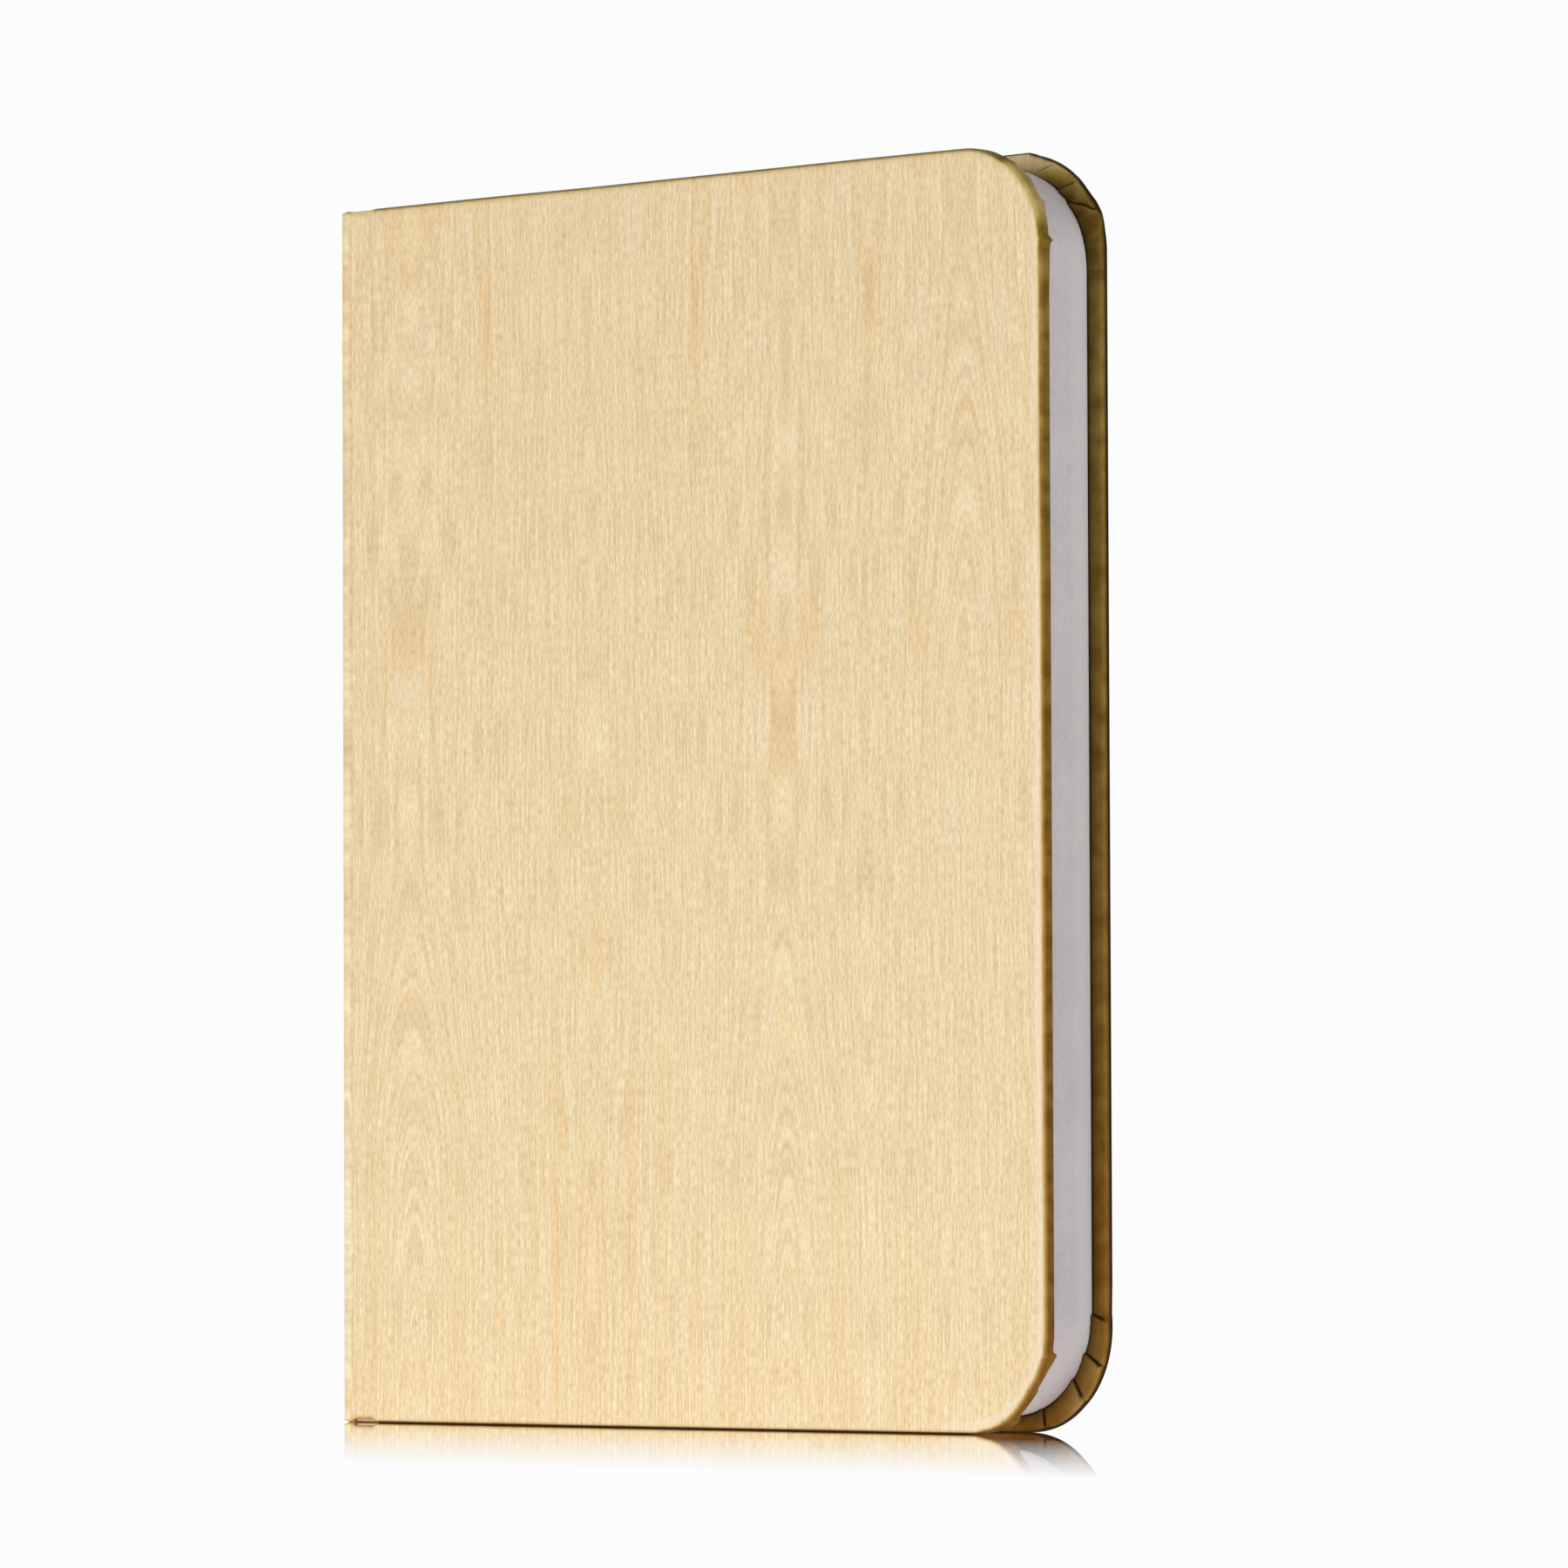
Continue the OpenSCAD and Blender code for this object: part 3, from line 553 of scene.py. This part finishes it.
def cover_points(side, station, waver):
    """The covering's section at one station: points, sheet places and marks."""
    form = FORM[side]
    kind, at = station
    here = ease(*GROOVE_TO_BOARD, at) if kind in ("foot", "top") else 1.0
    lift = (FOOT_GAP if kind == "foot" else TOP_GAP) * (1 - here)
    share, swelling = form["shade"], form["swell"]
    if kind in CORNERS:
        middle = (COVER_W - CORNER_R, CORNER_R if kind == "low" else COVER_H - CORNER_R)
        tucks = form[kind]["tucks"]
        slants = [(tucks[0][0] - SLANT_FADE, 0)] + [(t[0], t[1]) for t in tucks]
        slant = between(slants + [(tucks[-1][0] + SLANT_FADE, 0)], at)
        rise, fold, first = tuck_at(tucks, at)
        height = middle[1] + CORNER_R * math.sin(math.radians(at))
        tone = between(form[kind]["tone"], at)
        share = between(form[kind]["shade"], at)
        swelling *= 1 - ease(50, 85, abs(at))
    elif kind == "fore":
        height, tone = at, form["low"]["tone"][-1][1]
    elif kind == "foot":
        height, tone, share = 0, form["low"]["tone"][0][1], form["low"]["shade"][0][1]
    else:
        height, tone, share = COVER_H, between(form["top_tone"], at), form["high"]["shade"][-1][1]
        lift += between(form["top"], at)
    later = between(form["roll"], height) + waver
    width = between(form["roll_width"], height)
    leaf = leaf_inset(kind, at)
    points, sheet, browning_and_shade, shade_line, pale_band = [], [], [], [], []
    for k, (a, b) in enumerate(zip(GROOVE_EDGE, BOARD_EDGES[side])):
        d, y, run = (u + (v - u) * here for u, v in zip(a, b))
        seen = k < VISIBLE_ROWS
        line, tone_here = 0.0, tone
        swell = swelling * (1 - ease(*SWELL_INSETS, d)) * ease(*SWELL_RUNS, run) if seen else 0
        if kind == "foot":
            spot, flat = (at, d + lift), (at, -run)
        elif kind == "top":
            spot, flat = (at, COVER_H - d - lift), (at, COVER_H + run)
        elif kind == "fore":
            spot, flat = (COVER_W - d + swell, at), (COVER_W + run, at)
        else:
            # A tuck leans and stands out most at the rim. A dent follows the board, which gives
            # way only past its edge.
            rim = ease(*RIM_RUNS, run) if seen else 1.0
            lean = slant * (min(d, LEAN_END) - LEAN_PIVOT) * (1 - ease(*LEAN_INSETS, d)) * rim
            angle = math.radians(at + lean if seen else at)
            edge = between(form[kind]["edge"], at) - CORNER_R
            if edge > 0:
                edge *= 0.3 + 0.7 * rim
            else:
                edge *= form["board_share"] + (1 - form["board_share"]) * ease(*DENT_RUNS, run)
            bulge = edge * (1 - ease(*BULGE_INSETS, d)) + swell if seen else 0
            if seen and run > 0:
                # The tuck lifts off the board and its crease gets painted shade, both as far as the
                # leaf
                under = 1 - ease(leaf - 0.1, leaf + 0.3, d)
                y -= (rise - 0.1 * fold) * ease(*LIFT_RUNS, run) * under
                reach = d if run > 1.6 else run - 1.8
                line = fold * ease(first - 0.2, first + 0.4, reach) * under
                # Painted highlight: where a tuck stands up it is browned and shaded less, so it
                # looks lit
                tone_here = tone - 0.3 * rise * (1 - fold)
            inner, outer = CORNER_R - d + bulge, CORNER_R + run
            aim_x, aim_z = math.cos(angle), math.sin(angle)
            spot = (middle[0] + inner * aim_x, middle[1] + inner * aim_z)
            flat = (middle[0] + outer * aim_x, middle[1] + outer * aim_z)
        if seen and run > FACES_LEAVES:
            # Painted shade: dark where the leaf touches it, and less so on the way there
            near = math.exp(-((d - leaf + CONTACT_OFF) / CONTACT_WIDTH) ** 2)
            shade = min(tone, SHADE_MOST) * ease(SHADE_START, leaf, d)
            line = max(line, min(0.35 + 0.85 * tone, 1) * near, shade)
        # Painted shade along the outline, and at the foot where it meets the floor
        if seen and here > 0.9:
            line = max(line, outer_line(side, share, kind, at, run))
        points.append((spot[0], y, spot[1]))
        sheet.append(flat)
        # Browning and painted shade of the rolled edge and the turn-in, by run and by angle
        rolled = ease(ROLL_START + later, ROLL_START + later + width, run)
        browning_and_shade.append(tone_here * rolled if seen else tone)
        shade_line.append(line)
        # A paler band on the face just inside the rolled edge, by height
        pale = (1 - ease(*PALE_BAND_END, d)) * ease(*PALE_BAND_START, d)
        on_face = run < 0 and kind not in ("foot", "top")
        pale_band.append(between(form["face_paleness"], height) * pale if on_face else 0.0)
    return points, sheet, browning_and_shade, shade_line, pale_band


def cover_piece(side, sign):
    """The covering of one cover, with its rolled edges, tucked corners and hinge groove."""
    rng = random.Random(7 if sign < 0 else 11)
    waves = [(size, rng.uniform(0, 6), length)
             for size, length in ((0.05, 3.1), (0.04, 1.3), (0.03, 0.57))]
    stations = edge_stations(FORM[side])
    rows = []
    for i, station in enumerate(stations):
        waver = sum(size * math.sin(phase + i / length) for size, phase, length in waves)
        rows.append(cover_points(side, station, waver))
    count = len(rows[0][0])
    points, sheet, browning_and_shade, shade_line, pale_band = ([v for row in rows for v in row[i]] for i in range(5))
    points = [(x, y * sign, z) for x, y, z in points]
    sheet = [(-sign * (x + FACE_Y), z) for x, z in sheet]
    faces = []
    last = len(rows) - 1
    for i in range(last):
        for k in range(count - 1):
            a = i * count + k
            faces.append((a, a + 1, a + count + 1, a + count))
    straight = sum(1 for s in stations if s[0] == "foot")
    for k in (0, count - 1):
        for i in range(straight - 1):
            j = last - i
            faces.append([row * count + k for row in (i, i + 1, j - 1, j)])
        faces.append([i * count + k for i in range(straight - 1, last - straight + 2)])
    faces.append(list(range(count)) + [last * count + k for k in reversed(range(count))])
    piece = new_piece(side + "_covering", points, faces, COVERING, sheet,
                      {"browning_and_shade": browning_and_shade, "shade_line": shade_line, "pale_band": pale_band})
    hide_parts(side + "_wrap")
    across_hinge(piece)


def across_hinge(piece):
    """Bakes the placement of a sheet that crosses the hinge groove into its mesh."""
    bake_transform(piece)


# The hinge lining's thickness, and its outer side in section: across the groove on the covering,
# then down the board's end to the leaf
LINING_T = 0.1
LINING_PATH = [(2.66 + 0.38 * k, 7.06) for k in range(14)]
LINING_PATH += [(7.9, 6.98), (8.06, 6.8), (8.08, 6.14)]


def hinge_lining(side, sign):
    """White paper strip glued in the hinge groove, over the board's end and in under the leaf."""
    path = LINING_PATH
    inner = [(x - LINING_T * (x > 7.8), y - LINING_T * (y > 6.9)) for x, y in path]
    ring = path + inner[::-1]
    levels = [0.28, 1, 12, 60, 107, 155, 203, COVER_H - 1, COVER_H - 0.28]
    n = len(ring)
    points = [(x, y * sign, z) for z in levels for x, y in ring]
    faces = [(j * n + i, j * n + (i + 1) % n, (j + 1) * n + (i + 1) % n, (j + 1) * n + i)
             for j in range(len(levels) - 1) for i in range(n)]
    for first in (0, (len(levels) - 1) * n):
        faces += [(first + i, first + i + 1, first + n - 2 - i, first + n - 1 - i)
                  for i in range(len(path) - 1)]
    piece = new_piece(side + "_hinge_lining", points, faces, LEAF)
    across_hinge(piece)


def spine_piece():
    """The covering of the spine: round its board, turned in at the top and the foot."""
    # Half of its section: by the hinge, round the outer corner of 1 mm, and across the spine
    half = [(SPINE_IN, GROOVE_Y - 0.3), (SPINE_IN, FACE_Y - 0.42), (2.5, FACE_Y - 0.37),
            (2.3, FACE_Y - 0.25), (2.1, FACE_Y - 0.14), (1.85, FACE_Y - 0.04), (1.5, FACE_Y)]
    for k in range(9):
        t = math.pi / 2 * k / 8
        half.append((1 - math.sin(t), FACE_Y - 1 + math.cos(t)))
    half += [(0, 5.5), (0, 3.5), (0, PORT_HALF)]
    ring = half + [(x, -y) for x, y in reversed(half)]
    ring += [(SPINE_IN, y) for y in (-5.9, -PORT_HALF, PORT_HALF, 5.9)]
    n = len(ring)
    out_hi, in_hi = len(half) - 1, n - 2
    # Levels: height, how far the section shrinks there, and whether its inside opens to the board
    roll, turned_in = 0.8, 0.8
    ends = [(0.0, roll, 0)]
    for k in reversed(range(ROLL_STEPS)):
        t = math.pi / 2 * k / ROLL_STEPS
        ends.append((roll * (1 - math.sin(t)), roll * (1 - math.cos(t)), 0))
    ends += [(z, 0, 0) for z in (1.2, 2, 4, 8, TURN_IN - 0.1)]
    ends += [(z, 0, 1) for z in (TURN_IN, 24, 60)]
    foot, top = PORT_Z - PORT_H / 2, PORT_Z + PORT_H / 2
    levels = ends + [(foot, 0, 0), (foot + 0.4, 0, 0), (top - 0.4, 0, 1), (top, 0, 1),
                     (COVER_H / 2, 0, 1)]
    levels = sorted(levels + [(COVER_H - z, shrink, back) for z, shrink, back in ends])
    points, sheet, browning_and_shade = [], [], []
    middle = SPINE_IN / 2
    for z, shrink, back in levels:
        for x, y in ring:
            inside = x > SPINE_IN - 0.02 and abs(y) < 7.6
            if abs(y) == PORT_HALF and z in (foot, top):
                y = math.copysign(PORT_HALF_END, y)
            px = x + (shrink if x < middle else -shrink) * min(1, abs(x - middle) / 0.5)
            py = y - math.copysign(shrink, y) * (abs(y) > 7)
            points.append((SPINE_T - 0.03 if inside and back else px, py, z))
            sheet.append((-y, z))
            near = min(z, COVER_H - z)
            # The turn-ins at the top and the foot are browned and painted in shade, as on the
            # covers
            browning_and_shade.append(turned_in if inside else turned_in * (1 - ease(-0.4, 0.7, near)))
    faces = []
    for j in range(len(levels) - 1):
        low, high = levels[j][0], levels[j + 1][0]
        port = low >= foot and high <= top
        for i in range(n):
            a, b = j * n + i, j * n + (i + 1) % n
            if not (port and i in (out_hi, in_hi - 1)):
                faces.append((a, b, b + n, a + n))
        if port:
            for outer, inner in ((out_hi, in_hi), (out_hi + 1, in_hi - 1)):
                a, b = j * n + outer, j * n + inner
                faces.append((a, b, b + n, a + n))
        if low == foot or high == top:
            first = (j if low == foot else j + 1) * n
            faces.append([first + i for i in (out_hi, out_hi + 1, in_hi - 1, in_hi)])
    faces += [list(range(n)), [(len(levels) - 1) * n + i for i in range(n)]]
    none = [0.0] * len(points)
    piece = new_piece("spine_covering", points, faces, COVERING, sheet,
                      {"browning_and_shade": browning_and_shade, "shade_line": none, "pale_band": none})
    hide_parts("spine_wrap")
    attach(piece, "light_core")


# --- Pleats -----------------------------------------------------------------------------------

# One tree of Geometry Nodes makes each doubled leaf, from a grid drawn out to a page with two round
# corners that is thicker where its two sheets are joined round the edge.
LEAF_INPUTS = ("Fold X", "Fore Edge X", "Middle Y", "Foot Z", "Top Z", "Corner Radius", "Thickness",
               "Edge Thickness", "Edge Band")
LEAF_SIDES = {"back_y": "ADD", "front_y": "SUBTRACT"}


def moved_in_y(tree, mesh, y):
    """A mesh moved by a field of y."""
    offset = add(tree, "ShaderNodeCombineXYZ", {"Y": y})
    return add(tree, "GeometryNodeSetPosition", {"Geometry": mesh, "Offset": offset})


def leaf_tree():
    """The tree of a leaf. Its sockets are the lengths of LEAF_INPUTS in metres and a finish."""
    tree = bpy.data.node_groups.new("pleat_leaf", "GeometryNodeTree")
    for name in LEAF_INPUTS:
        tree.interface.new_socket(name, in_out="INPUT", socket_type="NodeSocketFloat")
    tree.interface.new_socket("Finish", in_out="INPUT", socket_type="NodeSocketMaterial")
    tree.interface.new_socket("Leaf", in_out="OUTPUT", socket_type="NodeSocketGeometry")
    size = add(tree, "NodeGroupInput").outputs
    radius = size["Corner Radius"]
    page = add(tree, "GeometryNodeMeshGrid", {"Size X": 1.0, "Size Y": 1.0, "Vertices X": 20,
                                              "Vertices Y": 97})
    position = add(tree, "GeometryNodeInputPosition")
    spot = add(tree, "ShaderNodeSeparateXYZ", {0: position}).outputs
    # Closer rows of points towards the fore-edge, the foot and the top
    across = calc(tree, "POWER", calc(tree, "SUBTRACT", 0.5, spot["X"]), 2.0)
    sine = calc(tree, "SINE", calc(tree, "MULTIPLY", spot["Y"], math.pi))
    z = remap(tree, sine, -1.0, 1.0, size["Foot Z"], size["Top Z"])
    above = calc(tree, "SUBTRACT", z, size["Foot Z"])
    below = calc(tree, "SUBTRACT", size["Top Z"], z)
    end = calc(tree, "MINIMUM", above, below)
    # The fore-edge draws back round the two corners
    short = calc(tree, "MAXIMUM", calc(tree, "SUBTRACT", radius, end), 0.0)
    square = calc(tree, "MULTIPLY", short, short)
    rest = calc(tree, "SUBTRACT", calc(tree, "MULTIPLY", radius, radius), square)
    reach = calc(tree, "SQRT", calc(tree, "MAXIMUM", rest, 0.0))
    edge_x = calc(tree, "SUBTRACT", size["Fore Edge X"], calc(tree, "SUBTRACT", radius, reach))
    x = remap(tree, across, 0.0, 1.0, edge_x, size["Fold X"])
    # Half its thickness, by how far inside the edge a point lies
    gap = calc(tree, "MINIMUM", calc(tree, "SUBTRACT", edge_x, x), end)
    half_edge, half_leaf = (calc(tree, "MULTIPLY", size[name], 0.5)
                            for name in ("Edge Thickness", "Thickness"))
    half = remap(tree, gap, 0.0, size["Edge Band"], half_edge, half_leaf,
                 interpolation_type="SMOOTHSTEP")
    held = {}
    for name, operation in LEAF_SIDES.items():
        value = calc(tree, operation, size["Middle Y"], half)
        page = add(tree, "GeometryNodeStoreNamedAttribute",
                   {"Geometry": page, "Name": name, "Value": value},
                   data_type="FLOAT", domain="POINT")
        held[name] = add(tree, "GeometryNodeInputNamedAttribute", {"Name": name},
                         data_type="FLOAT")
    outline = add(tree, "ShaderNodeCombineXYZ", {"X": x, "Z": z})
    flat = add(tree, "GeometryNodeSetPosition", {"Geometry": page, "Position": outline})
    # Its back and its rim come from an extrusion, and its front from the page turned over
    thick = add(tree, "GeometryNodeExtrudeMesh",
                {"Mesh": flat, "Offset Scale": 0.0, "Individual": False}, mode="FACES")
    side_y = add(tree, "GeometryNodeSwitch",
                 {"Switch": thick.outputs["Top"], "False": held["front_y"],
                  "True": held["back_y"]}, input_type="FLOAT")
    turned = add(tree, "GeometryNodeFlipFaces", {"Mesh": flat})
    both = add(tree, "GeometryNodeJoinGeometry")
    for part in (moved_in_y(tree, thick.outputs["Mesh"], side_y),
                 moved_in_y(tree, turned, held["front_y"])):
        tree.links.new(part.outputs[0], both.inputs[0])
    closed = add(tree, "GeometryNodeMergeByDistance", {"Geometry": both, "Distance": 1e-6})
    whole = add(tree, "GeometryNodeRealizeInstances", {"Geometry": closed})
    dressed = add(tree, "GeometryNodeSetMaterial", {"Geometry": whole, "Material": size["Finish"]})
    add(tree, "NodeGroupOutput", {"Leaf": dressed})
    return tree


def leaf_piece(tree, name, sizes):
    """Runs the leaf's tree with these sizes in millimetres, and keeps the result as a mesh."""
    seed = bpy.data.objects.new(name + "_seed", bpy.data.meshes.new(name + "_seed"))
    bpy.context.scene.collection.objects.link(seed)
    modifier = seed.modifiers.new("leaf", "NODES")
    modifier.node_group = tree
    for item in tree.interface.items_tree:
        if item.name in LEAF_INPUTS:
            origin = COVER_W / 2 if item.name.endswith("X") else 0
            modifier[item.identifier] = (sizes[item.name] - origin) / 1000
        elif item.in_out == "INPUT":
            modifier[item.identifier] = LEAF
    seed.update_tag()
    graph = bpy.context.evaluated_depsgraph_get()
    mesh = bpy.data.meshes.new_from_object(seed.evaluated_get(graph))
    mesh.name = name
    for spare in LEAF_SIDES:
        mesh.attributes.remove(mesh.attributes[spare])
    piece = bpy.data.objects.new(name, mesh)
    bpy.context.scene.collection.objects.link(piece)
    bpy.data.objects.remove(seed)
    return piece


def fold_x(i):
    """Where pleat i folds, just outside the nose."""
    return NOSE_X + ROOT_LEN * math.sqrt(1 - ((i + 0.5) / PLEATS) ** 2)


# Thickness of a pleat and of an end leaf at the edge, and how far in from it that reaches
PLEAT_EDGE = {"Edge Thickness": 0.46, "Edge Band": 5.0}
LINING_EDGE = {"Edge Thickness": 0.14, "Edge Band": 0.6}
page_tree = leaf_tree()
page = {"Foot Z": BLOCK_INSET, "Top Z": COVER_H - BLOCK_INSET, "Corner Radius": CORNER_R,
        "Fore Edge X": COVER_W - BLOCK_INSET, "Thickness": LEAF_T}
for side, sign in SIDES:
    for i in range(PLEATS):
        name = f"{side}_pleat_{i + 1:02d}"
        leaf = leaf_piece(page_tree, f"{side}_leaf_{i + 1:02d}", {
            **page, **PLEAT_EDGE, "Fold X": fold_x(i), "Middle Y": sign * (i + 0.5) * PLEAT_PITCH})
        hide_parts(name)
        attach(leaf, name)
    lining = leaf_piece(page_tree, side + "_lining", {
        **page, **LINING_EDGE, "Fold X": GROOVE_END, "Middle Y": sign * (RIM_Y - LEAF_T / 2)})
    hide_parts(side + "_end_leaf")
    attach(lining, side + "_cover")
    cover_piece(side, sign)
    hinge_lining(side, sign)
spine_piece()


# --- Camera, floor and light ------------------------------------------------------------------

scene = bpy.context.scene
# Camera: place in metres, turns in degrees and lens, all fitted to the photo's outlines
CAMERA_AT = Vector((1.204, -1.216, 0.041))
YAW, PITCH, ROLL = (math.radians(v) for v in (44.31, 2.33, -0.22))
LENS_MM, SENSOR_MM = 228.3, 36


def aim(thing, forward, right=None):
    """Turns a camera or light so that it looks along forward."""
    if right is None:
        thing.rotation_euler = forward.to_track_quat("-Z", "Y").to_euler()
        return
    up = right.cross(forward)
    thing.rotation_euler = Matrix((right, up, -forward)).transposed().to_euler()


camera = bpy.data.objects.new("camera", bpy.data.cameras.new("camera"))
scene.collection.objects.link(camera)
scene.camera = camera
camera.location = CAMERA_AT
camera.data.lens = LENS_MM
camera.data.sensor_width = SENSOR_MM
camera.data.clip_start, camera.data.clip_end = 0.05, 50
ahead = Vector((-math.sin(YAW), math.cos(YAW), 0))
forward = math.cos(PITCH) * ahead + Vector((0, 0, math.sin(PITCH)))
level = Vector((math.cos(YAW), math.sin(YAW), 0))
aim(camera, forward, math.cos(ROLL) * level + math.sin(ROLL) * level.cross(forward))


FLOOR_REACH = 12.0
# The floor's mirror: its strength by the lamp, the distance over which it fades, and how much less
# it fades along the covers than away from them
MIRROR_START, MIRROR_LENGTH, MIRROR_ALONG = 1.3, 0.18, 0.3
# What the lamp's light gets from the matt floor: its grey and its glow
FLOOR_GREY, FLOOR_GLOW = 0.8, 0.5
BACKDROP = linear("#FCFCFC")
# Strength of the backdrop as a light
BACKDROP_LIGHT = 0.25


def white_floor():
    """Polished white floor whose shine gives way to plain white within 0.18 m of the lamp.

    The camera sees it as plain white with that mirror. The lamp gets the light of a matt floor that
    also glows.
    """
    material = bpy.data.materials.new("polished_white_floor")
    material.use_nodes = True
    tree = material.node_tree
    tree.nodes.clear()
    at = add(tree, "ShaderNodeTexCoord").outputs["Object"]
    lamp = (COVER_W / 2000, FACE_Y / 1000, 0)
    past = calc_vector(tree, "SUBTRACT", calc_vector(tree, "ABSOLUTE", at), lamp)
    out = calc_vector(tree, "MAXIMUM", past, (0, 0, 0))
    drawn = calc_vector(tree, "MULTIPLY", out, (MIRROR_ALONG, 1, 1))
    away = calc_vector(tree, "LENGTH", drawn).outputs["Value"]
    fade = remap(tree, away, 0.0, MIRROR_LENGTH, MIRROR_START, 0.0)
    grazing = add(tree, "ShaderNodeFresnel", {"IOR": 1.5})
    shine = add(tree, "ShaderNodeMath", {0: fade, 1: grazing}, operation="MULTIPLY", use_clamp=True)
    white = add(tree, "ShaderNodeEmission", {"Color": BACKDROP, "Strength": 1.0})
    mirror = add(tree, "ShaderNodeBsdfGlossy", {"Roughness": 0.0, "Color": (1, 1, 1, 1)})
    seen = add(tree, "ShaderNodeMixShader", {0: shine, 1: white, 2: mirror})
    matt = add(tree, "ShaderNodeBsdfDiffuse", {"Color": (*[FLOOR_GREY] * 3, 1)})
    glow = add(tree, "ShaderNodeEmission", {"Color": (1, 1, 1, 1), "Strength": FLOOR_GLOW})
    plain = add(tree, "ShaderNodeAddShader", {0: matt, 1: glow})
    path = add(tree, "ShaderNodeLightPath")
    both = add(tree, "ShaderNodeMixShader", {0: path.outputs["Is Camera Ray"], 1: plain, 2: seen})
    add(tree, "ShaderNodeOutputMaterial", {"Surface": both})
    return material


floor_mesh = bpy.data.meshes.new("floor")
floor_mesh.from_pydata([(x * FLOOR_REACH, y * FLOOR_REACH, 0)
                        for x, y in ((-1, -1), (1, -1), (1, 1), (-1, 1))], [], [(0, 1, 2, 3)])
floor_mesh.materials.append(white_floor())
floor = bpy.data.objects.new("floor", floor_mesh)
scene.collection.objects.link(floor)

world = bpy.data.worlds.new("studio")
scene.world = world
world.use_nodes = True
sky = world.node_tree
sky.nodes.clear()
# The backdrop is white to the camera and in the floor's mirror, and dimmer as a light
ray = add(sky, "ShaderNodeLightPath").outputs
seen = calc(sky, "MAXIMUM", ray["Is Camera Ray"], ray["Is Singular Ray"])
power = remap(sky, seen, 0, 1, BACKDROP_LIGHT, 1.0)
glow = add(sky, "ShaderNodeBackground", {"Color": BACKDROP, "Strength": power})
add(sky, "ShaderNodeOutputWorld", {"Surface": glow})

# The lights leave the floor out, whose mirror would show them as pale squares. Its own glow makes
# up for what it would throw back.
all_but_floor = bpy.data.collections.new("all_but_floor")
all_but_floor.objects.link(floor)
all_but_floor.collection_objects[0].light_linking.link_state = "EXCLUDE"
LAMP_MIDDLE = Vector((0, 0, 0.1))


def soft_light(name, at, size, watts):
    """A square soft box that looks at the middle of the lamp, with its place and size in metres."""
    data = bpy.data.lights.new(name, "AREA")
    data.shape = "SQUARE"
    data.size = size
    data.energy = watts
    light = bpy.data.objects.new(name, data)
    light.location = at
    aim(light, LAMP_MIDDLE - Vector(at))
    scene.collection.objects.link(light)
    light.light_linking.receiver_collection = all_but_floor


soft_light("key", (-0.5, -1.9, 0.32), 1.3, 40.5)
soft_light("fill", (1.65, -0.3, 0.8), 1.2, 7.2)
soft_light("back", (-1.2, 1.9, 1.1), 1.4, 30)

scene.view_settings.view_transform = "Standard"
scene.view_settings.look = "None"
